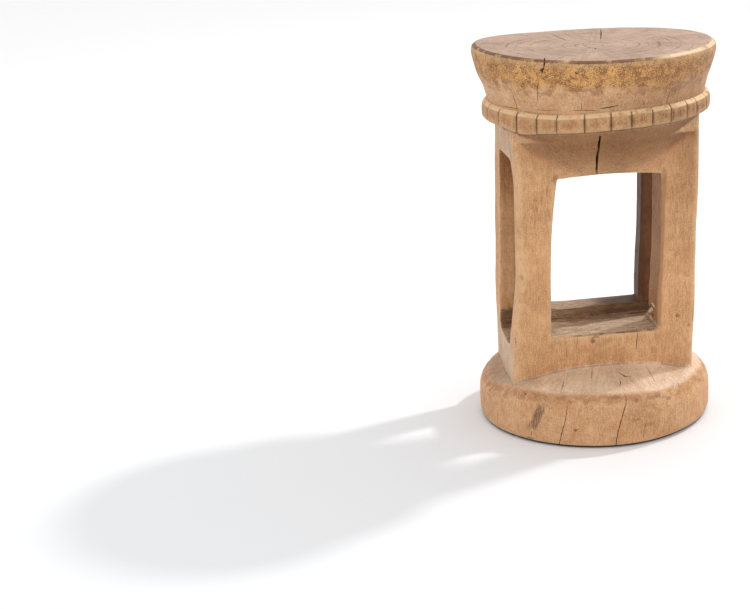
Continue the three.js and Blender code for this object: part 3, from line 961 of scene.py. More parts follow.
def mark_surface(mesh, field, low, step):
    """Stores on every vertex the masks and measures that the wood's material works from."""
    count = len(mesh.vertices)
    points = np.empty(count * 3)
    normals = np.empty(count * 3)
    mesh.vertices.foreach_get("co", points)
    mesh.vertices.foreach_get("normal", normals)
    points, normals = points.reshape(-1, 3), normals.reshape(-1, 3)
    fine = bend_of_surface(field, low, step, points, 1, 4, 4)
    tight = bend_of_surface(field, low, step, points, 2, 4, 8)
    part = regions(points, normals)
    x, y, z = points.T
    beside = smoothstep(z, 95, 115) * (1 - smoothstep(z, 322, 332))
    slot = smoothstep(-x, 84, 90) * smoothstep(z, 122, 140) * (1 - smoothstep(z, 240, 300))
    depth = sampled(field, low, step, points)
    pad, hole = (np.linalg.norm((points - centre) / reach, axis=1) < 1 for centre, reach, _ in DENTS)
    radius, crown_level, _ = crown_coordinates(x, y, z)
    foot_radius, foot_level = foot_coordinates(x, y, z)
    foot = Outline(foot_outline(), soften=2).at(foot_radius, foot_level)
    shaft = shaft_distance(x, y, z)
    # Deep painted shade inside the shaft: its inner right walls and far post, the top of the back rail, and the low
    # rails on either side.
    inner_right = 0.74 * smoothstep(x, 40, 62) * (0.35 + 0.65 * smoothstep(y, 20, 33))
    far_post = smoothstep(x, 40, 60) * (1 - smoothstep(x, 69, 76)) * smoothstep(y, 20, 33)
    inner_right = (inner_right + 0.14 * far_post) * (z > 123)
    on_top = (normals[:, 2] > 0.6) & (y > 33)
    ledge = (0.1 + 0.72 * smoothstep(x, -10, 36)) * on_top
    low_right = (0.24 + 0.3 * smoothstep(x, -30, 30)) * smoothstep(y, 24, 32) * (~on_top)
    low_right = low_right * (1 - 0.7 * smoothstep(x, 0, 36) * (z < 107)) + 0.24 * smoothstep(x, 0, 36) * (y > 30) * (z > 107)
    low_left = 0.6 * smoothstep(-x, 72, 88) * (z < 124)
    low = (ledge + low_right) * (z <= 123)
    masks = {
        "edge": tight / 1.1,
        "recess": -fine / 0.5 * (1 - 0.8 * (np.abs(crown_level - NECK) < 4)) * (1 - 0.45 * (np.abs(z - 70) < 25)),
        "crack": (-depth - 1.2) / 1.5 * ~(pad & ~hole) * (1 - 0.5 * hole),
        "seat_top": part["top"],
        "seat_side": part["side"],
        "collar": part["collar"],
        "cone": part["cone"],
        "foot_top": part["foot_top"],
        "foot_side": part["foot_side"],
        "shaft": part["shaft"],
        # The shaft's left and right faces take a paler, greyer tint: painted light.
        "flank": part["shaft"] * smoothstep(SHAFT_HALF - np.abs(y), 1, 6) * (np.abs(normals[:, 0]) > 0.7) * (1 - beside),
        "within": part["within"] * (1 - 0.6 * slot),
        "rails": part["within"] * (z < 124),
        "deep_shade": part["within"] * (inner_right + low + low_left) + part["cone"] * 0.25 * smoothstep(x, 60, 95),
        "painted_shade": painted_shade(points, part),
    }
    for name, values in masks.items():
        set_measure(mesh, name, np.clip(values, 0, 1))
    set_measure(mesh, "level", np.where(z > 300, crown_level, np.where(z < 100, foot_level, z)))
    set_measure(mesh, "rim", np.where(part["top"] > 0.5, SEAT_CREASE - radius, crown_level - SEAT_EDGE))
    set_measure(mesh, "groove", np.where(part["collar"] > 0, groove_distance(x, y), 20))
    set_measure(mesh, "sunk", np.where(part["collar"] > 0, COLLAR_RADIUS - radius, 0))
    set_measure(mesh, "meet", np.where(z < 110, np.clip(np.abs(foot) + np.abs(shaft), 0, 20), 20))


def shade(red, green, blue):
    """A colour that is named by its usual 0 to 255 values, as the shader's own linear light."""
    values = (v / 255 for v in (red, green, blue))
    return tuple(v / 12.92 if v <= 0.04045 else ((v + 0.055) / 1.055) ** 2.4 for v in values) + (1,)


class Bench:
    """Places and joins shader nodes in one tree."""

    def __init__(self, tree):
        self.tree = tree
        self.count = 0

    def add(self, kind, **settings):
        node = self.tree.nodes.new(kind)
        node.location = (220 * (self.count % 12), -260 * (self.count // 12))
        self.count += 1
        for key, value in settings.items():
            setattr(node, key, value)
        return node

    def feed(self, node, socket, value):
        if isinstance(value, bpy.types.NodeSocket):
            self.tree.links.new(value, node.inputs[socket])
        elif value is not None:
            node.inputs[socket].default_value = value

    def sum(self, operation, a, b=None, c=None, clamp=False):
        node = self.add("ShaderNodeMath", operation=operation, use_clamp=clamp)
        for i, value in enumerate((a, b, c)):
            self.feed(node, i, value)
        return node.outputs[0]

    def vector(self, operation, a, b=None, scale=None):
        node = self.add("ShaderNodeVectorMath", operation=operation)
        self.feed(node, 0, a)
        self.feed(node, 1, b)
        self.feed(node, "Scale", scale)
        return node.outputs["Value" if operation in ("LENGTH", "DISTANCE") else "Vector"]

    def between(self, value, low, high, to_low=0.0, to_high=1.0, smooth=True):
        kind = "SMOOTHSTEP" if smooth else "LINEAR"
        node = self.add("ShaderNodeMapRange", interpolation_type=kind, clamp=True)
        for name, part in (("Value", value), ("From Min", low), ("From Max", high)):
            self.feed(node, name, part)
        self.feed(node, "To Min", to_low)
        self.feed(node, "To Max", to_high)
        return node.outputs[0]

    def mix(self, share, a, b, blend="MIX"):
        node = self.add("ShaderNodeMix", data_type="RGBA", blend_type=blend, clamp_factor=True)
        self.feed(node, "Factor", share)
        self.feed(node, 6, a)
        self.feed(node, 7, b)
        return node.outputs[2]

    def blend(self, share, a, b):
        node = self.add("ShaderNodeMix", data_type="FLOAT", clamp_factor=True)
        self.feed(node, 0, share)
        self.feed(node, 2, a)
        self.feed(node, 3, b)
        return node.outputs[0]

    def noise(self, vector, scale, detail=2.0, roughness=0.5, distortion=0.0):
        node = self.add("ShaderNodeTexNoise")
        self.feed(node, "Vector", vector)
        self.feed(node, "Scale", scale)
        self.feed(node, "Detail", detail)
        self.feed(node, "Roughness", roughness)
        self.feed(node, "Distortion", distortion)
        return node.outputs["Fac"]

    def mask(self, name):
        return self.add("ShaderNodeAttribute", attribute_type="GEOMETRY", attribute_name=name).outputs["Fac"]

    def group(self, tree, **values):
        node = self.add("ShaderNodeGroup", node_tree=tree)
        for name, value in values.items():
            self.feed(node, name.replace("_", " ").capitalize(), value)
        return node.outputs


def new_group(name, inputs, outputs):
    """An empty shader node group: (tree, bench, input sockets by name, output node)."""
    tree = bpy.data.node_groups.new(name, "ShaderNodeTree")
    for label, kind, default in inputs:
        socket = tree.interface.new_socket(label, in_out="INPUT", socket_type=kind)
        if default is not None:
            socket.default_value = default
    for label, kind in outputs:
        tree.interface.new_socket(label, in_out="OUTPUT", socket_type=kind)
    bench = Bench(tree)
    start = bench.add("NodeGroupInput")
    end = bench.add("NodeGroupOutput")
    return tree, bench, start.outputs, end


def grain_group():
    """Growth rings, rays, fibres and pores of a solid log, from a place in millimetres."""
    tree, b, given, end = new_group(
        "Log grain",
        [
            ("Place", "NodeSocketVector", None),
            ("Pith", "NodeSocketVector", (0, 0, 0)),
            ("Ring width", "NodeSocketFloat", 10.0),
        ],
        [("Rings", "NodeSocketFloat"), ("Rays", "NodeSocketFloat"), ("Fibre", "NodeSocketFloat"), ("Pores", "NodeSocketFloat")],
    )
    place = given["Place"]
    split = b.add("ShaderNodeSeparateXYZ")
    b.feed(split, 0, place)
    up = split.outputs["Z"]
    sway = b.add("ShaderNodeTexNoise", noise_dimensions="1D")
    b.feed(sway, "W", up)
    b.feed(sway, "Scale", 0.008)
    lean = b.vector("MULTIPLY", b.vector("SUBTRACT", sway.outputs["Color"], (0.5, 0.5, 0.5)), (26, 26, 0))
    centred = b.vector("MULTIPLY", b.vector("SUBTRACT", b.vector("SUBTRACT", place, given["Pith"]), lean), (1, 1.06, 0))
    radius = b.vector("LENGTH", centred)
    wavy = b.sum("MULTIPLY_ADD", b.noise(place, 0.03, 3.0), 13, radius)
    wavy = b.sum("MULTIPLY_ADD", b.noise(place, 0.16, 2.0), 2.0, wavy)
    count = b.sum("DIVIDE", wavy, given["Ring width"])
    uneven = b.add("ShaderNodeTexNoise", noise_dimensions="1D")
    b.feed(uneven, "W", count)
    b.feed(uneven, "Scale", 0.8)
    count = b.sum("MULTIPLY_ADD", uneven.outputs["Fac"], 1.3, count)
    part = b.sum("FRACT", count)
    late = b.sum("MULTIPLY", b.between(part, 0.8, 0.9), b.between(part, 0.93, 1.0, 1.0, 0.0))
    seen = b.between(b.noise(place, 0.035, 3.0), 0.42, 0.58, 0.2, 1.0)
    b.feed(end, "Rings", b.sum("MULTIPLY", late, seen))
    spoke = b.vector("SCALE", b.vector("NORMALIZE", centred), scale=26.0)
    along = b.add("ShaderNodeCombineXYZ")
    b.feed(along, "Z", b.sum("MULTIPLY", radius, 0.02))
    b.feed(end, "Rays", b.noise(b.vector("ADD", spoke, along.outputs[0]), 1.0, 4.0, 0.65))
    b.feed(end, "Fibre", b.noise(b.vector("MULTIPLY", place, (0.85, 0.85, 0.1)), 1.0, 4.0, 0.62, 0.2))
    pores = b.noise(b.vector("MULTIPLY", place, (1.3, 1.3, 0.14)), 1.0, 2.0, 0.6)
    b.feed(end, "Pores", b.between(pores, 0.6, 0.74))
    return tree


def spot_group():
    """A soft mark around one place. The rough input makes its edge uneven."""
    tree, b, given, end = new_group(
        "Spot",
        [
            ("Place", "NodeSocketVector", None),
            ("Centre", "NodeSocketVector", (0, 0, 0)),
            ("Squeeze", "NodeSocketVector", (1, 1, 1)),
            ("Rough", "NodeSocketFloat", 0.0),
        ],
        [("Mask", "NodeSocketFloat")],
    )
    away = b.vector("MULTIPLY", b.vector("SUBTRACT", given["Place"], given["Centre"]), given["Squeeze"])
    reach = b.sum("ADD", b.vector("LENGTH", away), given["Rough"])
    b.feed(end, "Mask", b.between(reach, 0.45, 1.05, 1.0, 0.0))
    return tree


def dirt_group():
    """Grime that gathers in hollows and rubs off edges."""
    tree, b, given, end = new_group(
        "Grime and wear",
        [
            ("Place", "NodeSocketVector", None),
            ("Recess", "NodeSocketFloat", 0.0),
            ("Edge", "NodeSocketFloat", 0.0),
        ],
        [("Grime", "NodeSocketFloat"), ("Wear", "NodeSocketFloat")],
    )
    patch = b.noise(given["Place"], 0.09, 4.0, 0.6)
    fine = b.noise(given["Place"], 0.7, 3.0, 0.6)
    ground = b.sum("MULTIPLY_ADD", b.sum("SUBTRACT", patch, 0.5), 0.9, given["Recess"])
    b.feed(end, "Grime", b.between(b.sum("MULTIPLY_ADD", b.sum("SUBTRACT", fine, 0.5), 0.6, ground), 0.35, 1.0))
    rubbed = b.sum("MULTIPLY_ADD", b.sum("SUBTRACT", patch, 0.5), 0.9, given["Edge"])
    b.feed(end, "Wear", b.between(b.sum("MULTIPLY_ADD", b.sum("SUBTRACT", fine, 0.5), 0.5, rubbed), 0.25, 0.95))
    return tree


# Brown knots, stains and dark flecks: centre in mm, size in mm along each axis, strength.
MARKS = (
    ((-17.5, -67, 109.5), (3.4, 6, 5), 0.85),
    ((-13, -67, 114.2), (5.2, 6, 2.8), 0.75),
    ((-7, -67, 116.2), (4.5, 6, 2), 0.5),
    ((83.5, -67, 131.5), (3, 6, 3), 0.7),
    ((97, -66, 119), (3, 6, 3), 0.5),
    ((-82, -67, 283), (3, 6, 3), 0.4),
    ((-100, -67, 193), (3, 8, 4), 0.5),
    ((-103, -66, 247), (3, 8, 5), 0.4),
    ((-75, -67, 283), (1.6, 6, 9), 0.4),
    ((-69, -67, 292), (1.4, 6, 8), 0.45),
    ((-66, -67, 264), (1.4, 6, 9), 0.4),
    ((-81, -67, 272), (1.4, 6, 7), 0.35),
    ((-59, -67, 305), (5, 6, 9), 0.45),
    ((66, -67, 300), (4, 6, 10), 0.45),
    ((4, -67, 308.5), (56, 6, 2), 0.3),
    ((-52, -124, 22.6), (2.4, 6, 2.4), 0.8),
    ((-99, -93, 5), (5, 8, 1.8), 0.85),
    ((-106, -84, 4), (5, 8, 1.6), 0.6),
    ((-101.7, -83.5, 56.6), (2, 4, 1.6), 0.8),
    ((-135, -29, 44), (3, 4, 1.8), 0.7),
    ((-8, -126, 60), (12, 8, 2.6), 0.5),
    ((18.4, -127.8, 54.7), (4, 6, 3), 0.5),
    ((45, -120.6, 54.5), (5, 6, 2.4), 0.5),
    ((60, -116.5, 49.5), (5, 6, 3.4), 0.5),
    ((17.4, -131.6, 32.3), (9, 6, 2.4), 0.35),
    ((34, -129, 24), (10, 12, 3.5), 0.3),
    ((-120, -60, 47), (8, 8, 3), 0.3),
    ((-68, -116, 440), (8.5, 14, 6), 0.5),
    ((-69, -112, 424), (10, 16, 4.5), 0.35),
    ((-97, -88, 419), (8, 12, 3), 0.2),
    ((-45, -120, 415), (19, 12, 2.4), 0.4),
    ((31, -127, 424), (17, 10, 2.4), 0.45),
    ((62, -113, 414), (6, 10, 3), 0.45),
    ((65, -107, 403), (10, 12, 6), 0.25),
    ((20, -136, 438), (26, 16, 2.4), 0.5),
    ((-46, -128, 435), (3, 12, 3), 0.5),
)


# Torn pale fibres in the right corner of the channel, written like the marks, and the dark gap above them.
FIBRES = (
    ((59, -29, 127.7), (9, 6, 2.6), 0.9),
    ((59, -36, 130.9), (9, 6, 2.6), 0.9),
    ((59, -43, 134), (9, 6, 2.4), 0.8),
    ((59, -48, 141), (9, 11, 2.2), 0.6),
    ((59, -38, 121.5), (9, 5, 3.2), 0.7),
)
GAPS = (
    ((59, -31, 132.6), (9, 7, 2.8), 0.9),
    ((59, -38, 136.2), (9, 6, 2.6), 0.8),
    ((59, -47, 128), (9, 6, 4), 0.7),
)


# Light and dark tint of each part, as 0 to 255 values.
TINTS = (
    ("shaft", (226, 176, 127), (176, 125, 82)),
    # Paler, greyer tint of the shaft's left and right faces: painted light.
    ("flank", (218, 188, 156), (178, 142, 110)),
    ("cone", (216, 172, 127), (166, 122, 84)),
    ("seat_side", (222, 180, 138), (174, 128, 86)),
    ("collar", (220, 174, 128), (166, 117, 74)),
    ("foot_side", (224, 177, 131), (174, 124, 82)),
    ("foot_top", (242, 211, 181), (198, 162, 131)),
    ("seat_top", (196, 165, 142), (152, 122, 102)),
    ("within", (206, 153, 98), (148, 97, 53)),
    ("rails", (212, 179, 145), (156, 125, 97)),
)


def wood_material(settings):
    """Bare wood of the log, with the tints that use, light and dirt have given each part of it."""
    material = bpy.data.materials.new("carved_wood")
    material.use_nodes = True
    tree = material.node_tree
    tree.nodes.clear()
    b = Bench(tree)
    place = b.vector("SCALE", b.add("ShaderNodeTexCoord").outputs["Object"], scale=1 / MM)
    grain = b.group(grain_group(), place=place, pith=settings.pith, ring_width=settings.ring_width)
    rings, rays, fibre, pores = (grain[k] for k in ("Rings", "Rays", "Fibre", "Pores"))
    masks = {
        name: b.mask(name)
        for name in ("edge", "recess", "crack", "seat_top", "seat_side", "collar", "cone", "foot_top",
                     "foot_side", "shaft", "flank", "within", "rails", "deep_shade", "painted_shade",
                     "level", "rim", "groove", "sunk", "meet")
    }
    dirt = b.group(dirt_group(), place=place, recess=masks["recess"], edge=masks["edge"])
    split = b.add("ShaderNodeSeparateXYZ")
    b.feed(split, 0, place)
    side, out, up = split.outputs
    level = masks["level"]
    cloud = b.noise(place, 0.022, 4.0, 0.55)
    mottle = b.noise(place, 0.11, 4.0, 0.6)
    speck = b.noise(place, 0.75, 3.0, 0.7)
    end_grain = b.sum("MAXIMUM", masks["seat_top"], b.sum("MULTIPLY", masks["foot_top"], 0.6))

    def product(first, *others):
        for other in others:
            first = b.sum("MULTIPLY", first, other)
        return first

    def swayed(value, noise, reach):
        return b.sum("MULTIPLY_ADD", b.sum("SUBTRACT", noise, 0.5), reach, value)

    def stripe(value, low, high, soft):
        rise = b.between(value, low - soft, low + soft)
        return b.sum("MULTIPLY", rise, b.between(value, high - soft, high + soft, 1.0, 0.0))

    light = settings.light_wood
    dark = settings.dark_wood
    for name, pale, deep in TINTS:
        light = b.mix(masks[name], light, shade(*pale))
        dark = b.mix(masks[name], dark, shade(*deep))
    streak = b.blend(end_grain, swayed(0.5, fibre, 0.9), swayed(0.5, rays, 0.8))
    tone = swayed(streak, mottle, 0.4)
    tone = swayed(tone, cloud, 0.7)
    tone = swayed(tone, speck, 1.4)
    colour = b.mix(b.between(tone, 0.25, 0.78, smooth=False), light, dark)

    # Warm patches of the upright wood, thin broken rings, and pores.
    warm = b.between(b.noise(place, 0.05, 4.0, 0.6), 0.5, 0.66)
    upright = b.sum("SUBTRACT", 1.0, end_grain)
    colour = b.mix(product(warm, upright, 0.34), colour, shade(198, 134, 86))
    ring_share = b.sum("MULTIPLY", rings, b.sum("MULTIPLY_ADD", masks["seat_top"], 0.6, 0.12))
    colour = b.mix(ring_share, colour, shade(104, 78, 68))
    colour = b.mix(b.sum("MULTIPLY", pores, 0.2), colour, shade(112, 74, 46))

    # The rubbed band under the rim of the seat, its soft lower border, and the dark line along the rim.
    seat = masks["seat_side"]
    wavering = swayed(swayed(up, mottle, 16), cloud, 26)
    band = product(b.between(wavering, 411, 421), seat)
    grit = b.noise(place, 0.8, 2.0, 0.6)
    band_tone = b.mix(b.between(swayed(grit, mottle, 0.6), 0.38, 0.62), shade(224, 166, 95), shade(124, 78, 40))
    colour = b.mix(b.sum("MULTIPLY", band, 0.85), colour, band_tone)
    border = product(stripe(wavering, 409, 414, 4), seat, b.between(mottle, 0.46, 0.62))
    colour = b.mix(b.sum("MULTIPLY", border, 0.5), colour, shade(124, 80, 48))
    rim_line = stripe(swayed(masks["rim"], speck, 1.2), -2.9, 1.0, 0.5)
    broken = b.between(b.noise(place, 0.08, 3.0), 0.32, 0.5)
    rightmost = b.between(side, 30, 62)
    dark_rim = product(rim_line, broken, b.sum("SUBTRACT", 1.0, rightmost))

    # The collar: orange faces, and grooves darkened with painted shade, with pale lips.
    collar = masks["collar"]
    face = product(stripe(swayed(level, speck, 1.6), 368.6, 382.4, 0.8), collar)
    face_tone = b.mix(b.between(swayed(grit, mottle, 0.6), 0.34, 0.66), shade(204, 148, 94), shade(134, 86, 50))
    inner_face = b.between(swayed(masks["groove"], mottle, 3.0), 1.0, 2.0)
    colour = b.mix(product(face, inner_face, b.between(side, -90, 50, 0.5, 0.95)), colour, face_tone)
    # A painted shadow along the collar's lower edge.
    collar_edge_shadow = product(stripe(swayed(level, mottle, 2.4), 365.4, 368.2, 0.5), b.between(up, 355, 356))
    colour = b.mix(b.sum("MULTIPLY", collar_edge_shadow, 0.6), colour, shade(78, 50, 32))
    # Painted shade in the grooves.
    groove = product(b.between(swayed(masks["groove"], speck, 0.8), 0.4, 1.5, 1.0, 0.0), collar)
    groove = product(groove, b.between(masks["sunk"], 0.6, 2.0))
    colour = b.mix(b.sum("MULTIPLY", groove, 0.85), colour, shade(84, 56, 36))

    # The foot: a brown band below its shoulder, a thin line of painted shade where the shaft rises from it, and a
    # stain.
    crease = product(stripe(swayed(level, mottle, 5.0), 49.5, 56.0, 1.6), b.between(up, 66, 68, 1.0, 0.0))
    colour = b.mix(product(crease, b.between(mottle, 0.34, 0.6), 0.5), colour, shade(150, 96, 56))
    # Painted shade in the crease where the shaft rises from the foot.
    meet = b.between(swayed(masks["meet"], mottle, 2.0), 0.5, 1.8, 1.0, 0.0)
    colour = b.mix(product(meet, b.between(cloud, 0.4, 0.6, 0.05, 0.4)), colour, shade(92, 62, 42))
    slant = b.sum("MULTIPLY_ADD", up, -0.338, b.sum("ADD", swayed(side, mottle, 6), 103.1))
    stain = b.between(b.sum("ABSOLUTE", slant), 2.6, 5.6, 1.0, 0.0)
    stain = product(stain, stripe(swayed(up, mottle, 10), 17, 48, 4), b.between(out, -60, -50, 1.0, 0.0))
    colour = b.mix(product(stain, b.between(fibre, 0.3, 0.62, 0.3, 0.9)), colour, shade(112, 80, 56))

    # Dark and pale streaks along the rough floor of the window and its channel.
    brushed = b.noise(b.vector("MULTIPLY", place, (0.07, 0.5, 0.5)), 1.0, 3.0, 0.6)
    streaked = b.mix(b.between(swayed(brushed, speck, 0.6), 0.34, 0.66), shade(228, 200, 168), shade(108, 84, 62))
    colour = b.mix(b.sum("MULTIPLY", masks["rails"], 0.45), colour, streaked)

    rough = b.sum("MULTIPLY", b.sum("SUBTRACT", b.noise(place, 0.35, 3.0), 0.5), 1.3)
    spot = spot_group()
    for centre, size, strength in MARKS:
        squeeze = tuple(1 / s for s in size)
        mark = b.group(spot, place=place, centre=centre, squeeze=squeeze, rough=rough)[0]
        colour = b.mix(b.sum("MULTIPLY", mark, strength), colour, settings.mark_wood)
    chip = b.group(spot, place=place, centre=(-84, -106.6, 441.5), squeeze=(0.2, 0.2, 0.16), rough=rough)[0]
    colour = b.mix(b.sum("MULTIPLY", chip, 0.7), colour, shade(172, 142, 112))

    # Painted shade, deeper painted shade inside the shaft, rubbed edges, grime in the hollows, a painted contact shadow
    # along the foot's bottom edge and painted shade inside the cracks.
    shaded = b.mix(1.0, colour, (0.45, 0.37, 0.29, 1), "MULTIPLY")
    colour = b.mix(masks["painted_shade"], colour, shaded)
    # Deeper painted shade inside the shaft and on the cone's right.
    darkest_shading = b.mix(1.0, colour, (0.3, 0.19, 0.1, 1), "MULTIPLY")
    colour = b.mix(masks["deep_shade"], colour, darkest_shading)
    worn = product(dirt["Wear"], b.between(masks["within"], 0.0, 1.0, 0.22, 0.05))
    colour = b.mix(worn, colour, settings.rubbed_wood)
    for places, tint in ((GAPS, shade(66, 44, 30)), (FIBRES, shade(244, 216, 182))):
        for centre, size, strength in places:
            squeeze = tuple(1 / s for s in size)
            mark = b.group(spot, place=place, centre=centre, squeeze=squeeze, rough=rough)[0]
            colour = b.mix(b.sum("MULTIPLY", mark, strength), colour, tint)
    colour = b.mix(b.sum("MULTIPLY", dirt["Grime"], settings.grime), colour, settings.grime_colour)
    colour = b.mix(b.sum("MULTIPLY", dark_rim, 0.85), colour, shade(104, 66, 42))

    # The front window: a dark line along its sill, and a brown painted shade down its right edge.
    front = b.between(out, -65, -63, 1.0, 0.0)
    sill_line = product(stripe(swayed(up, speck, 1.4), 115.4, 118.6, 0.6), front, stripe(side, -40, 57, 8))
    colour = b.mix(product(sill_line, b.between(mottle, 0.36, 0.56, 0.3, 0.85)), colour, shade(112, 72, 42))
    # Painted shade down the window's right edge.
    leaning = b.sum("MULTIPLY_ADD", up, -0.033, swayed(side, mottle, 3.0))
    window_edge_shade = product(stripe(leaning, 54, 59.6, 1.4), front, stripe(up, 119, 298, 5))
    colour = b.mix(b.sum("MULTIPLY", window_edge_shade, 0.75), colour, shade(156, 108, 66))
    bevel = product(stripe(swayed(level, speck, 1.4), 383.2, 387.2, 0.6), b.between(up, 370, 371))
    bevel = product(bevel, b.between(mottle, 0.3, 0.5), b.between(masks["groove"], 0.5, 1.3))
    colour = b.mix(b.sum("MULTIPLY", bevel, 0.85), colour, shade(238, 202, 156))
    # Painted shade in the crease of the neck, above the collar's bevel.
    neck = product(stripe(swayed(level, mottle, 3.0), 387.6, 388.8, 0.5), b.between(cloud, 0.44, 0.6), b.between(up, 370, 371))
    colour = b.mix(b.sum("MULTIPLY", neck, 0.3), colour, shade(96, 62, 38))
    # A painted highlight along the rim on the right.
    colour = b.mix(product(rim_line, broken, rightmost, 0.75), colour, shade(240, 206, 160))
    # A painted contact shadow, near black, along the foot's bottom edge.
    colour = b.mix(b.between(swayed(up, speck, 1.5), 2.4, 4.0, 0.97, 0.0), colour, shade(30, 23, 19))
    # Painted shade inside the cracks.
    colour = b.mix(masks["crack"], colour, settings.crack_shade)

    rough = b.sum("MULTIPLY_ADD", tone, 0.22, 0.5)
    rough = b.sum("MULTIPLY_ADD", dirt["Grime"], 0.15, rough)
    rough = b.sum("MULTIPLY_ADD", b.sum("MULTIPLY", band, masks["edge"]), -0.12, rough, clamp=True)
    relief = b.sum("MULTIPLY_ADD", fibre, 0.6, b.sum("MULTIPLY", pores, -0.5))
    relief = b.sum("MULTIPLY_ADD", speck, 0.5, relief)
    relief = b.sum("MULTIPLY_ADD", b.sum("MULTIPLY", rings, end_grain), -0.5, relief)
    relief = b.sum("MULTIPLY_ADD", b.sum("MULTIPLY", rays, end_grain), 0.5, relief)
    bump_node = b.add("ShaderNodeBump")
    b.feed(bump_node, "Strength", 0.6)
    b.feed(bump_node, "Distance", 0.5 * MM)
    b.feed(bump_node, "Height", relief)
    surface = b.add("ShaderNodeBsdfPrincipled")
    b.feed(surface, "Base Color", colour)
    b.feed(surface, "Roughness", rough)
    b.feed(surface, "Specular IOR Level", 0.35)
    b.feed(surface, "Normal", bump_node.outputs[0])
    end = b.add("ShaderNodeOutputMaterial")
    b.feed(end, "Surface", surface.outputs[0])
    return material


def floor_material():
    """A matt white floor, a little paler far from the stool."""
    material = bpy.data.materials.new("pale_floor")
    material.use_nodes = True
    b = Bench(material.node_tree)
    away = b.vector("LENGTH", b.add("ShaderNodeTexCoord").outputs["Object"])
    colour = b.mix(b.between(away, 0.7, 2.2), (0.89, 0.9, 0.915, 1), (0.97, 0.97, 0.97, 1))
    shader = material.node_tree.nodes["Principled BSDF"]
    b.feed(shader, "Base Color", colour)
    b.feed(shader, "Roughness", 0.9)
    b.feed(shader, "Specular IOR Level", 0.1)
    return material


class STOOL_PG_form(bpy.types.PropertyGroup):
    """Sizes of the fine surface."""

    grid: FloatProperty(
        name="Grid", description="Spacing of the grid that the surface is taken from, in mm",
        default=1.35, min=0.8, max=4,
    )
    triangles: IntProperty(
        name="Triangles", description="Triangles of the stool before its cracks are cut",
        default=176000, min=20000, max=185000,
    )
    marks: FloatProperty(
        name="Tool marks", description="Depth of the carving strokes, as a share of the real one's",
        default=1.0, min=0, max=2, subtype="FACTOR",
    )
    cracks: FloatProperty(
        name="Cracks", description="Width of the drying cracks, as a share of the real one's",
        default=1.0, min=0.3, max=1.5, subtype="FACTOR",
    )


class STOOL_PG_wood(bpy.types.PropertyGroup):
    """Colours and grain of the wood."""

    light_wood: FloatVectorProperty(
        name="Light wood", description="Colour of the early wood", subtype="COLOR", size=4,
        default=shade(216, 176, 134), min=0, max=1,
    )
    dark_wood: FloatVectorProperty(
        name="Dark wood", description="Colour of the dense fibres", subtype="COLOR", size=4,
        default=shade(170, 126, 88), min=0, max=1,
    )
    rubbed_wood: FloatVectorProperty(
        name="Rubbed wood", description="Colour of edges that hands have rubbed", subtype="COLOR", size=4,
        default=shade(232, 202, 160), min=0, max=1,
    )
    mark_wood: FloatVectorProperty(
        name="Marks", description="Colour of knots and stains", subtype="COLOR", size=4,
        default=shade(126, 74, 40), min=0, max=1,
    )
    grime_colour: FloatVectorProperty(
        name="Grime", description="Colour of the grime in hollows", subtype="COLOR", size=4,
        default=shade(92, 66, 48), min=0, max=1,
    )
    # Colour of the painted shade inside the cracks.
    crack_shade: FloatVectorProperty(
        name="Cracks", description="Colour inside the cracks", subtype="COLOR", size=4,
        default=shade(52, 34, 24), min=0, max=1,
    )
    grime: FloatProperty(
        name="Grime", description="How much grime lies in the hollows", default=0.5, min=0, max=1, subtype="FACTOR",
    )
    ring_width: FloatProperty(
        name="Ring width", description="Mean width of a growth ring, in mm", default=13, min=2, max=30,
    )
    pith: FloatVectorProperty(
        name="Heart", description="Where the heart of the log meets the floor, in mm", size=3, default=(-2, -34, 0),
    )


class STOOL_PG_stage(bpy.types.PropertyGroup):
    """Light and view."""

    key: FloatProperty(name="Key light", description="Power of the key light, in watts", default=42, min=0, unit="POWER")
    fill: FloatProperty(name="Fill", description="Strength of the light from all round", default=0.95, min=0)
    lens: FloatProperty(name="Lens", description="Focal length", default=77.66, min=10, unit="CAMERA")


def new_piece(name, mesh, material=None):
    piece = bpy.data.objects.new(name, mesh)
    bpy.context.scene.collection.objects.link(piece)
    if material:
        mesh.materials.clear()
        mesh.materials.append(material)
    return piece


class STOOL_OT_carve(bpy.types.Operator):
    """Carve the stool's fine surface, crack it, and give it its wood"""

    bl_idname = "stool.carve"
    bl_label = "Carve the stool"

    def execute(self, context):
        form = context.scene.stool_form
        field, low = stool_field(form.grid)
        vertices, faces = surface_mesh(field, low, form.grid)
        normals = vertex_normals(vertices, faces)
        vertices = vertices - normals * tool_marks(vertices, normals, form.marks)[:, None]
        triangles = np.vstack([faces[:, [0, 1, 2]], faces[:, [0, 2, 3]]])
        piece = new_piece("stool_wood", mesh_from("stool_wood", vertices, triangles))
        applied(piece, "DECIMATE", ratio=min(1, form.triangles / len(triangles)))
        cut_cracks(piece, form.cracks)
        mark_surface(piece.data, field, low, form.grid)
        settle(piece.data)
        piece.data.materials.clear()
        piece.data.materials.append(wood_material(context.scene.stool_wood))
        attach(piece, "root")
        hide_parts("stool")
        return {"FINISHED"}


def settle(mesh):
    """Brings a mesh from millimetres about the log's axis into the frame, inside the solid's box, and smooths its shading."""
    count = len(mesh.vertices)
    points = np.empty(count * 3)
    mesh.vertices.foreach_get("co", points)
    points = (points.reshape(-1, 3) + (CENTRE_SHIFT_X, 0, 0)) * MM
    points = np.clip(points, np.array(CAD_BOX[0]), np.array(CAD_BOX[1]))
    mesh.vertices.foreach_set("co", points.ravel())
    mesh.shade_smooth()
    mesh.set_sharp_from_angle(angle=math.radians(52))
    mesh.update()


# The camera stands where the photo was taken from: its place, and the directions it looks and holds level.
CAMERA_PLACE = (-0.42808, -1.81789, 0.73928)
CAMERA_AHEAD = (0.08549, 0.94827, -0.30572)
CAMERA_RIGHT = (0.99321, -0.10540, -0.04917)


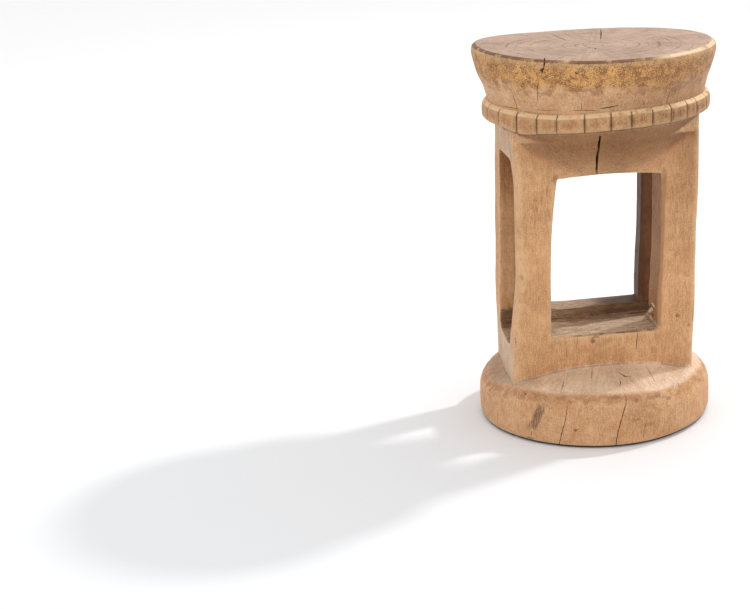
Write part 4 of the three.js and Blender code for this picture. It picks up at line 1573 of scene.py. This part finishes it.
class STOOL_OT_stage(bpy.types.Operator):
    """Set the floor, the lights and the camera"""

    bl_idname = "stool.stage"
    bl_label = "Set the stage"

    def execute(self, context):
        scene = context.scene
        stage = scene.stool_stage
        half = 30
        floor = bpy.data.meshes.new("floor")
        floor.from_pydata([(-half, -half, 0), (half, -half, 0), (half, half, 0), (-half, half, 0)], [], [(0, 1, 2, 3)])
        new_piece("floor", floor, floor_material())

        world = bpy.data.worlds.new("studio")
        world.use_nodes = True
        background = world.node_tree.nodes["Background"]
        background.inputs["Color"].default_value = (1, 1, 1, 1)
        background.inputs["Strength"].default_value = stage.fill
        scene.world = world

        self.light("key", (1.99, 0.87, 2.35), (0, 0, 0.2), stage.key, 0.22)

        ahead = Vector(CAMERA_AHEAD).normalized()
        right = Vector(CAMERA_RIGHT).normalized()
        above = right.cross(ahead).normalized()
        view = Matrix((right, above, -ahead)).transposed().to_4x4()
        view.translation = Vector(CAMERA_PLACE)
        data = bpy.data.cameras.new("camera")
        data.lens = stage.lens
        data.sensor_width = 36
        data.clip_start = 0.05
        data.clip_end = 100
        camera = bpy.data.objects.new("camera", data)
        camera.matrix_world = view
        scene.collection.objects.link(camera)
        scene.camera = camera
        scene.view_settings.view_transform = "Standard"
        return {"FINISHED"}

    def light(self, name, place, target, power, size):
        data = bpy.data.lights.new(name, "AREA")
        data.shape = "DISK"
        data.size = size
        data.energy = power
        lamp = bpy.data.objects.new(name, data)
        lamp.location = place
        lamp.rotation_euler = (Vector(target) - Vector(place)).to_track_quat("-Z", "Y").to_euler()
        bpy.context.scene.collection.objects.link(lamp)


class STOOL_PT_panel(bpy.types.Panel):
    """Sizes, wood and stage of the carved stool"""

    bl_idname = "STOOL_PT_panel"
    bl_label = "Carved stool"
    bl_space_type = "VIEW_3D"
    bl_region_type = "UI"
    bl_category = "Stool"

    def draw(self, context):
        layout = self.layout
        for group in (context.scene.stool_form, context.scene.stool_wood, context.scene.stool_stage):
            box = layout.box()
            for name in group.__annotations__:
                box.prop(group, name)
        layout.operator("stool.carve")
        layout.operator("stool.stage")


CLASSES = (STOOL_PG_form, STOOL_PG_wood, STOOL_PG_stage, STOOL_OT_carve, STOOL_OT_stage, STOOL_PT_panel)
GROUPS = {"stool_form": STOOL_PG_form, "stool_wood": STOOL_PG_wood, "stool_stage": STOOL_PG_stage}


def register():
    for kind in CLASSES:
        bpy.utils.register_class(kind)
    for name, kind in GROUPS.items():
        setattr(bpy.types.Scene, name, PointerProperty(type=kind))


def unregister():
    for name in GROUPS:
        delattr(bpy.types.Scene, name)
    for kind in reversed(CLASSES):
        bpy.utils.unregister_class(kind)


def main():
    register()
    bpy.ops.stool.carve()
    bpy.ops.stool.stage()


if __name__ == "__main__":
    main()
